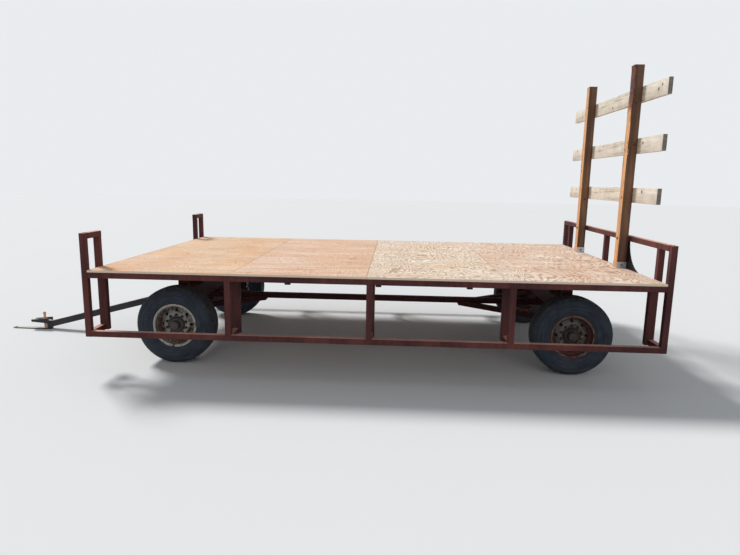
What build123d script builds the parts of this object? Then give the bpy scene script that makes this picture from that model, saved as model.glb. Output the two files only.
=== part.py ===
from build123d import *
import math
import os

os.makedirs("parts", exist_ok=True)

# A flat-deck four-wheel hay wagon. Millimetres, +X ahead towards the tongue, +Y the wagon's
# left, +Z up. The origin is on the floor, under the middle of the overall length and width.

# Deck and deck frame
DECK_TOP = 950.0  # top of the plywood above the floor
DECK_WIDTH = 2950.0  # over the side rails, which the plywood covers
DECK_LENGTH = 4877.0  # plywood alone, between the end rails
PLYWOOD = 18.0
SHEET_SEAMS = (1235.0, 2402.0, 3572.0)  # distance of each seam behind the front edge
SEAM_GAP = 2.0
TUBE = 50.8  # square tube of the frame, posts and rails
TUBE_CORNER = 4.0  # outside corner radius of a tube
POST_BAYS = (1211.0, 2428.0, 3633.0)  # middle posts behind the front edge
JOIST_BAYS = (600.0, 1820.0, 3030.0, 4260.0)  # cross tubes between the posts

# Side frames that hang under the deck and carry the foot rail
FOOT_RAIL_DROP = 572.0  # bottom of the foot rail below the top of the side rail
DROP_POST_WIDTH = 76.2  # along the wagon
DROP_POST_INSET = 250.0  # outer face of a drop post from the deck edge

# Hoops at the front corners and the rail across the rear
HOOP_HEIGHT = 335.0  # top of the hoops and the rear rail above the side rail
HOOP_INSET = 225.0  # outer face of the inner hoop post from the deck edge
RAIL_POST_INSET = 210.0  # outer face of an inset rear post from the deck edge

# Timber rack at the rear
RACK_POST = 89.0
RACK_POST_HEIGHT = 1886.0
RACK_POST_ARRIS = 3.0
RACK_SPACING = 1219.0
RACK_OFFSET = -40.0  # middle of the two posts, across the wagon
RACK_BOARD_THICKNESS = 38.0
RACK_BOARD_WIDTH = 140.0
RACK_BOARD_LENGTH = 2438.0
RACK_BOARD_OFFSET = -110.0
RACK_BOARD_HEIGHTS = (702.0, 1159.0, 1625.0)  # middle of each board above the deck
POST_BASE_WALL = 4.0
POST_BASE_HEIGHT = 62.0
BRACE_REACH = 250.0
BRACE_THICKNESS = 12.0
BRACE_TOE = 22.0  # width of the brace's upper end and height of its outer end

# Sills and bolsters between the deck frame and the running gear
SILL_HEIGHT = 178.0
SILL_FLANGE = 58.0
SILL_WEB = 7.0
SILL_FLANGE_THICKNESS = 10.0
SILL_SPREAD = 920.0  # between the webs
SILL_SETBACK = 90.0  # end of a sill from the plywood's end
BOLSTER_TOP = 672.0
BOLSTER_DEPTH = 150.0
BOLSTER_WIDTH = 150.0
BOLSTER_LENGTH = 1600.0
STAKE_WIDTH = 95.0
STAKE_THICKNESS = 45.0
STAKE_HEIGHT = 190.0

# Running gear
FRONT_AXLE_SETBACK = 572.0  # axle behind the front edge of the plywood
WHEELBASE = 3711.0
TRACK = 1920.0
TYRE_DIAMETER = 733.0
TYRE_WIDTH = 225.0
RIM_DIAMETER = 415.0  # over the flanges
RIM_WIDTH = 184.0
RIM_WALL = 5.0
FLANGE_DEPTH = 17.5
WELL_DEPTH = 42.0  # well below the flange's edge
DISC_WALL = 6.0
DISC_FLAT_DIAMETER = 232.0  # flat middle of the disc
DISC_SEAT = 12.0  # width of the disc's edge on the well
DISC_OFFSET = 34.0  # bolting face of the disc outboard of the wheel's middle
VENT_COUNT = 8
VENT_DIAMETER = 29.0
VENT_CIRCLE = 274.0
HUB_DIAMETER = 146.0
HUB_LENGTH = 128.0
HUB_FLANGE_DIAMETER = 226.0
HUB_FLANGE = 14.0
HUB_EDGE = 10.0  # chamfer round the hub's outboard end
HUB_CAP_DIAMETER = 88.0
HUB_CAP_EDGE = 8.0  # chamfer round the cap's end
HUB_CAP_LENGTH = 46.0
AXLE_BEAM = 90.0
SPINDLE_DIAMETER = 50.0
SPINDLE_BEYOND = 45.0  # spindle past the wheel's middle
TREAD_WIDTH = 168.0
CROWN_DROP = 4.0  # crown to the edge of the tread
SHOULDER_DROP = 24.0
SHOULDER_WIDTH = 200.0
REACH = 60.0
REACH_BOTTOM = 437.0
REACH_TAIL = 260.0  # reach past the rear axle
STAND = 80.0  # square stands that carry the bolsters on the axles
STAND_SPREAD = 520.0
HOUND = 50.0
FRONT_HOUND_LENGTH = 590.0
FRONT_HOUND_SPREAD = 1000.0
REAR_HOUND_LENGTH = 890.0
REAR_HOUND_SPREAD = 1400.0

# Steering
KINGPIN_DIAMETER = 32.0
KINGPIN_SPREAD = 1580.0
KNUCKLE_EAR = 20.0
KNUCKLE_WEB = 24.0
KNUCKLE_WIDTH = 90.0
STEER_ARM = 120.0  # forward throw of the yoke's and the knuckles' studs
STEER_STUD_OFFSET = 32.0
STEER_PLATE = 12.0
STEER_PLATE_TOP = 364.0
STUD_DIAMETER = 18.0
STUD_NUT_DIAMETER = 28.0
STUD_NUT = 8.0
ROD_DIAMETER = 24.0
ROD_EYE_DIAMETER = 40.0
ROD_EYE = 26.0
YOKE_SETBACK = 410.0  # king bolt behind the front edge of the plywood
YOKE_BARREL_DIAMETER = 70.0
YOKE_CHEEK = 12.0
YOKE_EYE_RADIUS = 36.0
KING_BOLT_DIAMETER = 30.0
KING_BOLT_HEAD_DIAMETER = 60.0  # across the corners
KING_BOLT_HEAD = 15.0
BRACKET_PLATE = 12.0
BRACKET_RADIUS = 46.0
TONGUE_TUBE = 70.0
TONGUE_HINGE_SETBACK = 215.0
TONGUE_HINGE_HEIGHT = 470.0
TONGUE_PIN_DIAMETER = 25.0
TONGUE_PIN_HEAD_DIAMETER = 40.0  # across the corners
TONGUE_PIN_HEAD = 12.0
TONGUE_TAIL = 40.0
TONGUE_RUN = 1525.0  # level distance from the hinge to the end of the tube
TONGUE_END_HEIGHT = 60.0  # middle of the tube's end as the wagon stands parked
CLEVIS_BLOCK = 30.0
CLEVIS_HEIGHT = 104.0
CLEVIS_PLATE = 12.0
CLEVIS_JAW = 230.0
STRAP_LENGTH = 445.0
STRAP_TIP_WIDTH = 54.0
STRAP_NOSE_WIDTH = 27.0  # flat end of the strap's tip
HITCH_HOLE_DIAMETER = 32.0
HITCH_HOLE_SETBACK = 30.0  # hole's middle from the strap's tip
HITCH_PIN_DIAMETER = 24.0
HITCH_PIN_SETBACK = 70.0  # pin ahead of the tube's end
HITCH_PIN_TOP = 190.0
HITCH_PIN_BOTTOM = 3.0
HITCH_PIN_COLLAR_DIAMETER = 44.0
HITCH_PIN_COLLAR = 10.0

# Clearances
RUNNING_FIT = 0.05  # radial, between a pin or spindle and its bore
SIDE_GAP = 5.0  # between faces that turn past each other
SEAT_GAP = 0.3  # between curved faces that seat

# Places worked out from the sizes above
HALF_WIDTH = DECK_WIDTH / 2
STRAP_FRONT = TONGUE_RUN + STRAP_LENGTH - TONGUE_HINGE_SETBACK  # tip ahead of the plywood
FRAME_BACK = DECK_LENGTH + TUBE  # rear of the frame behind the plywood's front edge
DECK_FRONT = (FRAME_BACK - STRAP_FRONT) / 2  # X of the plywood's front edge
DECK_BACK = DECK_FRONT - DECK_LENGTH
RAIL_TOP = DECK_TOP - PLYWOOD
RAIL_MIDDLE = RAIL_TOP - TUBE / 2
RAIL_BOTTOM = RAIL_TOP - TUBE
RAIL_Y = HALF_WIDTH - TUBE / 2
FRONT_POST_X = DECK_FRONT + TUBE / 2
REAR_POST_X = DECK_BACK - TUBE / 2
BAY_X = [DECK_FRONT - bay for bay in POST_BAYS]
POST_X = [FRONT_POST_X] + BAY_X + [REAR_POST_X]
DROP_END = (DROP_POST_WIDTH - TUBE) / 2  # keeps the end drop posts flush with the end rails
DROP_POST_X = [FRONT_POST_X - DROP_END] + BAY_X + [REAR_POST_X + DROP_END]
JOIST_X = sorted(BAY_X + [DECK_FRONT - bay for bay in JOIST_BAYS], reverse=True)
FOOT_BOTTOM = RAIL_TOP - FOOT_RAIL_DROP
FOOT_MIDDLE = FOOT_BOTTOM + TUBE / 2
HOOP_TOP = RAIL_TOP + HOOP_HEIGHT
FRONT_AXLE_X = DECK_FRONT - FRONT_AXLE_SETBACK
REAR_AXLE_X = FRONT_AXLE_X - WHEELBASE
AXLE_Z = TYRE_DIAMETER / 2
AXLE_TOP = AXLE_Z + AXLE_BEAM / 2
AXLE_BOTTOM = AXLE_Z - AXLE_BEAM / 2
SILL_TOP = RAIL_BOTTOM
SILL_BOTTOM = SILL_TOP - SILL_HEIGHT
WHEEL_Y = TRACK / 2
KINGPIN_Y = KINGPIN_SPREAD / 2
YOKE_X = DECK_FRONT - YOKE_SETBACK
HINGE_X = DECK_FRONT - TONGUE_HINGE_SETBACK
TONGUE_END_X = HINGE_X + TONGUE_RUN
TONGUE_DROP = TONGUE_HINGE_HEIGHT - TONGUE_END_HEIGHT
TONGUE_LENGTH = math.hypot(TONGUE_RUN, TONGUE_DROP)
BRACKET_TOP = AXLE_TOP + BRACKET_PLATE
ROD_MIDDLE = STEER_PLATE_TOP - STEER_PLATE - SIDE_GAP - ROD_EYE / 2
SIDES = (("left", 1), ("right", -1))

# Plywood sheets, laid crosswise
sheet_edges = [0.0] + list(SHEET_SEAMS) + [DECK_LENGTH]
for number, (ahead, behind) in enumerate(zip(sheet_edges[:-1], sheet_edges[1:]), start=1):
    sheet_front = DECK_FRONT - ahead - (SEAM_GAP / 2 if ahead > 0 else 0)
    sheet_back = DECK_FRONT - behind + (SEAM_GAP / 2 if behind < DECK_LENGTH else 0)
    with BuildPart() as plywood_sheet:
        with Locations(((sheet_front + sheet_back) / 2, 0, RAIL_TOP)):
            Box(
                sheet_front - sheet_back,
                DECK_WIDTH,
                PLYWOOD,
                align=(Align.CENTER, Align.CENTER, Align.MIN),
            )
    plywood_sheet.part.label = f"plywood_sheet_{number}"
    export_step(plywood_sheet.part, f"parts/plywood_sheet_{number}.step")

# Side rails under the deck edges and foot rails below them, between the corner posts
for side, sign in SIDES:
    for name, height in (("side_rail", RAIL_MIDDLE), ("foot_rail", FOOT_MIDDLE)):
        with BuildPart() as long_rail:
            with BuildSketch(Plane.YZ.offset(DECK_BACK)):
                with Locations((sign * RAIL_Y, height)):
                    RectangleRounded(TUBE, TUBE, TUBE_CORNER)
            extrude(amount=DECK_LENGTH)
        long_rail.part.label = f"{name}_{side}"
        export_step(long_rail.part, f"parts/{name}_{side}.step")

# End rails across the front and the rear, between the corner posts
for end, post_x in (("front", FRONT_POST_X), ("rear", REAR_POST_X)):
    with BuildPart() as end_rail:
        with BuildSketch(Plane.XZ.offset(TUBE - HALF_WIDTH)):
            with Locations((post_x, RAIL_MIDDLE)):
                RectangleRounded(TUBE, TUBE, TUBE_CORNER)
        extrude(amount=DECK_WIDTH - 2 * TUBE)
    end_rail.part.label = f"end_rail_{end}"
    export_step(end_rail.part, f"parts/end_rail_{end}.step")

# Cross tubes between the side rails, one at each middle post and one between
with BuildPart() as cross_tubes:
    with BuildSketch(Plane.XZ.offset(TUBE - HALF_WIDTH)):
        with Locations([(joist_x, RAIL_MIDDLE) for joist_x in JOIST_X]):
            RectangleRounded(TUBE, TUBE, TUBE_CORNER)
    extrude(amount=DECK_WIDTH - 2 * TUBE)
cross_tubes.part.label = "cross_tubes"
export_step(cross_tubes.part, "parts/cross_tubes.step")

# Outer posts: the corners run on up to the hoops, the middle ones stop at the side rail
for side, sign in SIDES:
    with BuildPart() as outer_posts:
        with BuildSketch(Plane.XY.offset(FOOT_BOTTOM)):
            with Locations([(post_x, sign * RAIL_Y) for post_x in (FRONT_POST_X, REAR_POST_X)]):
                RectangleRounded(TUBE, TUBE, TUBE_CORNER)
        extrude(amount=HOOP_TOP - FOOT_BOTTOM)
        with BuildSketch(Plane.XY.offset(FOOT_BOTTOM + TUBE)):
            with Locations([(post_x, sign * RAIL_Y) for post_x in BAY_X]):
                RectangleRounded(TUBE, TUBE, TUBE_CORNER)
        extrude(amount=RAIL_BOTTOM - FOOT_BOTTOM - TUBE)
    outer_posts.part.label = f"outer_posts_{side}"
    export_step(outer_posts.part, f"parts/outer_posts_{side}.step")

# Drop posts, and the foot tubes that join them to the foot rail
for side, sign in SIDES:
    drop_y = HALF_WIDTH - DROP_POST_INSET - TUBE / 2
    foot_outer = HALF_WIDTH - TUBE
    foot_length = foot_outer - (drop_y + TUBE / 2)
    with BuildPart() as drop_posts:
        with BuildSketch(Plane.XY.offset(FOOT_BOTTOM)):
            with Locations([(post_x, sign * drop_y) for post_x in DROP_POST_X]):
                RectangleRounded(DROP_POST_WIDTH, TUBE, TUBE_CORNER)
        extrude(amount=RAIL_BOTTOM - FOOT_BOTTOM)
    drop_posts.part.label = f"drop_posts_{side}"
    export_step(drop_posts.part, f"parts/drop_posts_{side}.step")
    with BuildPart() as foot_tubes:
        with BuildSketch(Plane.XZ.offset(-sign * foot_outer)):
            with Locations([(post_x, FOOT_MIDDLE) for post_x in POST_X]):
                RectangleRounded(TUBE, TUBE, TUBE_CORNER)
        extrude(amount=sign * foot_length)
    foot_tubes.part.label = f"foot_tubes_{side}"
    export_step(foot_tubes.part, f"parts/foot_tubes_{side}.step")

# Hoops at the front corners: an inner post on the end rail and a bar back to the corner post
for side, sign in SIDES:
    hoop_post_y = HALF_WIDTH - HOOP_INSET - TUBE / 2
    hoop_inner_y = hoop_post_y - TUBE / 2
    with BuildPart() as hoop:
        with BuildSketch(Plane.XY.offset(RAIL_TOP)):
            with Locations((FRONT_POST_X, sign * hoop_post_y)):
                RectangleRounded(TUBE, TUBE, TUBE_CORNER)
        extrude(amount=HOOP_HEIGHT - TUBE)
        with BuildSketch(Plane.XZ.offset(-sign * (HALF_WIDTH - TUBE))):
            with Locations((FRONT_POST_X, HOOP_TOP - TUBE / 2)):
                RectangleRounded(TUBE, TUBE, TUBE_CORNER)
        extrude(amount=sign * (HALF_WIDTH - TUBE - hoop_inner_y))
    hoop.part.label = f"front_hoop_{side}"
    export_step(hoop.part, f"parts/front_hoop_{side}.step")

# Rear rail: a bar between the corner posts on an inset post each side and one in the middle
rail_post_y = HALF_WIDTH - RAIL_POST_INSET - TUBE / 2
with BuildPart() as rear_rail:
    with BuildSketch(Plane.XY.offset(RAIL_TOP)):
        with Locations([(REAR_POST_X, y) for y in (-rail_post_y, 0, rail_post_y)]):
            RectangleRounded(TUBE, TUBE, TUBE_CORNER)
    extrude(amount=HOOP_HEIGHT - TUBE)
    with BuildSketch(Plane.XZ.offset(TUBE - HALF_WIDTH)):
        with Locations((REAR_POST_X, HOOP_TOP - TUBE / 2)):
            RectangleRounded(TUBE, TUBE, TUBE_CORNER)
    extrude(amount=DECK_WIDTH - 2 * TUBE)
rear_rail.part.label = "rear_rail"
export_step(rear_rail.part, "parts/rear_rail.step")

# Timber rack: two posts in steel bases, flush with the plywood's rear edge and bolted to the
# rear rail, with three boards on their rear faces
rack_post_x = DECK_BACK + RACK_POST / 2
for side, sign in SIDES:
    post_y = RACK_OFFSET + sign * RACK_SPACING / 2
    with BuildPart() as rack_post:
        with Locations((rack_post_x, post_y, DECK_TOP + POST_BASE_WALL)):
            Box(
                RACK_POST,
                RACK_POST,
                RACK_POST_HEIGHT - POST_BASE_WALL,
                align=(Align.CENTER, Align.CENTER, Align.MIN),
            )
        chamfer(rack_post.edges().filter_by(Axis.Z), RACK_POST_ARRIS)
    rack_post.part.label = f"rack_post_{side}"
    export_step(rack_post.part, f"parts/rack_post_{side}.step")
    with BuildPart() as post_base:
        with BuildSketch(Plane.YZ.offset(DECK_BACK)):
            with Locations((post_y, DECK_TOP)):
                Rectangle(
                    RACK_POST + 2 * POST_BASE_WALL,
                    POST_BASE_HEIGHT,
                    align=(Align.CENTER, Align.MIN),
                )
            with Locations((post_y, DECK_TOP + POST_BASE_WALL)):
                Rectangle(
                    RACK_POST,
                    POST_BASE_HEIGHT,
                    align=(Align.CENTER, Align.MIN),
                    mode=Mode.SUBTRACT,
                )
        extrude(amount=RACK_POST)
    post_base.part.label = f"post_base_{side}"
    export_step(post_base.part, f"parts/post_base_{side}.step")

with BuildPart() as rack_boards:
    with BuildSketch(Plane.YZ.offset(DECK_BACK - RACK_BOARD_THICKNESS)):
        with Locations([(RACK_BOARD_OFFSET, DECK_TOP + height) for height in RACK_BOARD_HEIGHTS]):
            Rectangle(RACK_BOARD_LENGTH, RACK_BOARD_WIDTH)
    extrude(amount=RACK_BOARD_THICKNESS)
rack_boards.part.label = "rack_boards"
export_step(rack_boards.part, "parts/rack_boards.step")

# Brace behind the left rack post: a plate with a hollow edge, between the end rail and the
# rear rail's bar
brace_inner = RACK_OFFSET + RACK_SPACING / 2 + RACK_POST / 2
brace_height = HOOP_HEIGHT - TUBE
with BuildPart() as post_brace:
    with BuildSketch(Plane.YZ.offset(DECK_BACK - BRACE_THICKNESS)):
        with BuildLine():
            toe = (brace_inner + BRACE_REACH, RAIL_TOP + BRACE_TOE)
            head = (brace_inner + BRACE_TOE, RAIL_TOP + brace_height)
            back = (brace_inner - RACK_POST, RAIL_TOP)
            Polyline(toe, (toe[0], RAIL_TOP), back, (back[0], head[1]), head)
            RadiusArc(head, toe, -brace_height)
        make_face()
    extrude(amount=BRACE_THICKNESS)
post_brace.part.label = "post_brace"
export_step(post_brace.part, "parts/post_brace.step")

# Channel sills under the cross tubes, with their webs facing outboard
sill_front = DECK_FRONT - SILL_SETBACK
sill_length = DECK_LENGTH - 2 * SILL_SETBACK
for side, sign in SIDES:
    web_y = sign * SILL_SPREAD / 2
    with BuildPart() as sill:
        with BuildSketch(Plane.YZ.offset(sill_front - sill_length)):
            with Locations((web_y - sign * SILL_FLANGE / 2, SILL_BOTTOM + SILL_HEIGHT / 2)):
                Rectangle(SILL_FLANGE, SILL_HEIGHT)
            with Locations((web_y - sign * (SILL_WEB + SILL_FLANGE / 2), SILL_BOTTOM + SILL_HEIGHT / 2)):
                Rectangle(SILL_FLANGE, SILL_HEIGHT - 2 * SILL_FLANGE_THICKNESS, mode=Mode.SUBTRACT)
        extrude(amount=sill_length)
    sill.part.label = f"sill_{side}"
    export_step(sill.part, f"parts/sill_{side}.step")

# Bolsters over the axles, with a stake at each end and a wear pad under each sill
for end, axle_x in (("front", FRONT_AXLE_X), ("rear", REAR_AXLE_X)):
    stake_y = (BOLSTER_LENGTH - STAKE_THICKNESS) / 2
    pad_y = (SILL_SPREAD - SILL_FLANGE) / 2
    with BuildPart() as bolster:
        with Locations((axle_x, 0, BOLSTER_TOP - BOLSTER_DEPTH / 2)):
            Box(BOLSTER_WIDTH, BOLSTER_LENGTH, BOLSTER_DEPTH)
        with Locations([(axle_x, y, BOLSTER_TOP) for y in (-stake_y, stake_y)]):
            Box(
                STAKE_WIDTH,
                STAKE_THICKNESS,
                STAKE_HEIGHT,
                align=(Align.CENTER, Align.CENTER, Align.MIN),
            )
        with Locations([(axle_x, y, BOLSTER_TOP) for y in (-pad_y, pad_y)]):
            Box(
                BOLSTER_WIDTH,
                SILL_FLANGE,
                SILL_BOTTOM - BOLSTER_TOP,
                align=(Align.CENTER, Align.CENTER, Align.MIN),
            )
    bolster.part.label = f"bolster_{end}"
    export_step(bolster.part, f"parts/bolster_{end}.step")

# Reach on the centre line, from the front axle to past the rear one
reach_front = FRONT_AXLE_X + AXLE_BEAM / 2
reach_back = REAR_AXLE_X - REACH_TAIL
with BuildPart() as reach_pole:
    with BuildSketch(Plane.YZ.offset(reach_back)):
        with Locations((0, REACH_BOTTOM + REACH / 2)):
            RectangleRounded(REACH, REACH, TUBE_CORNER)
    extrude(amount=reach_front - reach_back)
reach_pole.part.label = "reach_pole"
export_step(reach_pole.part, "parts/reach_pole.step")

# Hounds: a pair of tubes from the top of each axle in to the sides of the reach
for end, axle_x, way, length, spread in (
    ("front", FRONT_AXLE_X, -1, FRONT_HOUND_LENGTH, FRONT_HOUND_SPREAD),
    ("rear", REAR_AXLE_X, 1, REAR_HOUND_LENGTH, REAR_HOUND_SPREAD),
):
    with BuildPart() as hounds:
        with BuildSketch(Plane.XY.offset(AXLE_TOP)):
            for sign in (-1, 1):
                with BuildLine():
                    Polyline(
                        (axle_x - way * AXLE_BEAM / 2, sign * (spread + HOUND) / 2),
                        (axle_x - way * AXLE_BEAM / 2, sign * (spread - HOUND) / 2),
                        (axle_x + way * AXLE_BEAM / 2, sign * (spread - HOUND) / 2),
                        (axle_x + way * (length - HOUND), sign * REACH / 2),
                        (axle_x + way * (length + HOUND), sign * REACH / 2),
                        (axle_x + way * AXLE_BEAM / 2, sign * (spread + HOUND) / 2),
                        close=True,
                    )
                make_face()
        extrude(amount=HOUND)
    hounds.part.label = f"hounds_{end}"
    export_step(hounds.part, f"parts/hounds_{end}.step")

# Axles: square beams with a stand each side under the bolster. The front one ends in kingpin
# eyes and has two bracket plates ahead for the king bolt, the rear one ends in its spindles.
bolster_bottom = BOLSTER_TOP - BOLSTER_DEPTH
web_inner = KINGPIN_Y + AXLE_BEAM / 2 + SIDE_GAP
web_outer = web_inner + KNUCKLE_WEB
spindle_end = WHEEL_Y + SPINDLE_BEYOND
with BuildPart() as front_axle:
    with BuildSketch(Plane.XY.offset(AXLE_BOTTOM)):
        with Locations((FRONT_AXLE_X, 0)):
            SlotCenterToCenter(KINGPIN_SPREAD, AXLE_BEAM, rotation=90)
        with Locations([(FRONT_AXLE_X, y) for y in (-KINGPIN_Y, KINGPIN_Y)]):
            Circle(KINGPIN_DIAMETER / 2, mode=Mode.SUBTRACT)
    extrude(amount=AXLE_BEAM)
    for plate_bottom in (AXLE_BOTTOM - BRACKET_PLATE, AXLE_TOP):
        bracket_back = FRONT_AXLE_X - AXLE_BEAM / 2
        with BuildSketch(Plane.XY.offset(plate_bottom)):
            with Locations(((bracket_back + YOKE_X) / 2, 0)):
                Rectangle(YOKE_X - bracket_back, 2 * BRACKET_RADIUS)
            with Locations((YOKE_X, 0)):
                Circle(BRACKET_RADIUS)
                Circle(KING_BOLT_DIAMETER / 2, mode=Mode.SUBTRACT)
        extrude(amount=BRACKET_PLATE)
    with Locations((FRONT_AXLE_X, 0, BRACKET_TOP)):
        Box(
            AXLE_BEAM,
            2 * BRACKET_RADIUS,
            REACH_BOTTOM - BRACKET_TOP,
            align=(Align.CENTER, Align.CENTER, Align.MIN),
        )
    with BuildSketch(Plane.XY.offset(AXLE_TOP)):
        with Locations([(FRONT_AXLE_X, y) for y in (-STAND_SPREAD / 2, STAND_SPREAD / 2)]):
            RectangleRounded(STAND, STAND, TUBE_CORNER)
    extrude(amount=bolster_bottom - AXLE_TOP)
front_axle.part.label = "front_axle"
export_step(front_axle.part, "parts/front_axle.step")

with BuildPart() as rear_axle:
    with Locations((REAR_AXLE_X, 0, AXLE_Z)):
        Box(AXLE_BEAM, 2 * web_outer, AXLE_BEAM)
    with BuildSketch(Plane.XZ.offset(-spindle_end)):
        with Locations((REAR_AXLE_X, AXLE_Z)):
            Circle(SPINDLE_DIAMETER / 2)
    extrude(amount=2 * spindle_end)
    with Locations((REAR_AXLE_X, 0, AXLE_TOP)):
        Box(
            AXLE_BEAM,
            2 * BRACKET_RADIUS,
            REACH_BOTTOM - AXLE_TOP,
            align=(Align.CENTER, Align.CENTER, Align.MIN),
        )
    with BuildSketch(Plane.XY.offset(AXLE_TOP)):
        with Locations([(REAR_AXLE_X, y) for y in (-STAND_SPREAD / 2, STAND_SPREAD / 2)]):
            RectangleRounded(STAND, STAND, TUBE_CORNER)
    extrude(amount=bolster_bottom - AXLE_TOP)
rear_axle.part.label = "rear_axle"
export_step(rear_axle.part, "parts/rear_axle.step")

# Kingpins, held in the eyes of the front axle
upper_ear = AXLE_TOP + SIDE_GAP
lower_ear = AXLE_BOTTOM - SIDE_GAP - KNUCKLE_EAR
with BuildPart() as kingpins:
    with BuildSketch(Plane.XY.offset(lower_ear - SIDE_GAP)):
        with Locations([(FRONT_AXLE_X, y) for y in (-KINGPIN_Y, KINGPIN_Y)]):
            Circle(KINGPIN_DIAMETER / 2)
    extrude(amount=upper_ear + KNUCKLE_EAR - lower_ear + 2 * SIDE_GAP)
kingpins.part.label = "kingpins"
export_step(kingpins.part, "parts/kingpins.step")

# King bolt through the bracket plates, with a head above and a nut below
with BuildPart() as king_bolt:
    with BuildSketch(Plane.XY.offset(AXLE_BOTTOM - BRACKET_PLATE)):
        with Locations((YOKE_X, 0)):
            Circle(KING_BOLT_DIAMETER / 2)
    extrude(amount=BRACKET_TOP - AXLE_BOTTOM + BRACKET_PLATE)
    for head_bottom in (AXLE_BOTTOM - BRACKET_PLATE - KING_BOLT_HEAD, BRACKET_TOP):
        with BuildSketch(Plane.XY.offset(head_bottom)):
            with Locations((YOKE_X, 0)):
                RegularPolygon(KING_BOLT_HEAD_DIAMETER / 2, 6)
        extrude(amount=KING_BOLT_HEAD)
king_bolt.part.label = "king_bolt"
export_step(king_bolt.part, "parts/king_bolt.step")

# Knuckles: two ears on each kingpin, a web, the spindle and a steering arm with its stud
arm_bottom = STEER_PLATE_TOP - STEER_PLATE
nut_bottom = ROD_MIDDLE - ROD_EYE / 2 - SIDE_GAP - STUD_NUT
for side, sign in SIDES:
    pin_y = sign * KINGPIN_Y
    stud_y = sign * (KINGPIN_Y + STEER_STUD_OFFSET)
    stud_x = FRONT_AXLE_X + STEER_ARM
    with BuildPart() as knuckle:
        for ear_bottom in (lower_ear, upper_ear):
            with BuildSketch(Plane.XY.offset(ear_bottom)):
                with Locations((FRONT_AXLE_X, (pin_y + sign * web_outer) / 2)):
                    Rectangle(KNUCKLE_WIDTH, web_outer - KINGPIN_Y)
                with Locations((FRONT_AXLE_X, pin_y)):
                    Circle(KNUCKLE_WIDTH / 2)
                    Circle(KINGPIN_DIAMETER / 2 + RUNNING_FIT, mode=Mode.SUBTRACT)
            extrude(amount=KNUCKLE_EAR)
        with Locations((FRONT_AXLE_X, sign * (web_inner + web_outer) / 2, AXLE_Z)):
            Box(KNUCKLE_WIDTH, KNUCKLE_WEB, upper_ear + KNUCKLE_EAR - lower_ear)
        with BuildSketch(Plane.XZ.offset(-sign * web_inner)):
            with Locations((FRONT_AXLE_X, AXLE_Z)):
                Circle(SPINDLE_DIAMETER / 2)
        extrude(amount=-sign * (spindle_end - web_inner))
        with BuildSketch(Plane.XY.offset(arm_bottom)):
            with BuildLine():
                arm_root_x = FRONT_AXLE_X + KNUCKLE_WIDTH / 2 - KNUCKLE_WEB
                Polyline(
                    (arm_root_x, sign * web_inner),
                    (stud_x, stud_y - sign * ROD_EYE_DIAMETER / 2),
                    (stud_x, stud_y + sign * ROD_EYE_DIAMETER / 2),
                    (arm_root_x, sign * web_outer),
                    close=True,
                )
            make_face()
            with Locations((stud_x, stud_y)):
                Circle(ROD_EYE_DIAMETER / 2)
        extrude(amount=STEER_PLATE)
        with BuildSketch(Plane.XY.offset(nut_bottom)):
            with Locations((stud_x, stud_y)):
                Circle(STUD_DIAMETER / 2)
        extrude(amount=arm_bottom - nut_bottom)
        with BuildSketch(Plane.XY.offset(nut_bottom)):
            with Locations((stud_x, stud_y)):
                RegularPolygon(STUD_NUT_DIAMETER / 2, 6)
        extrude(amount=STUD_NUT)
    knuckle.part.label = f"knuckle_{side}"
    export_step(knuckle.part, f"parts/knuckle_{side}.step")

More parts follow.
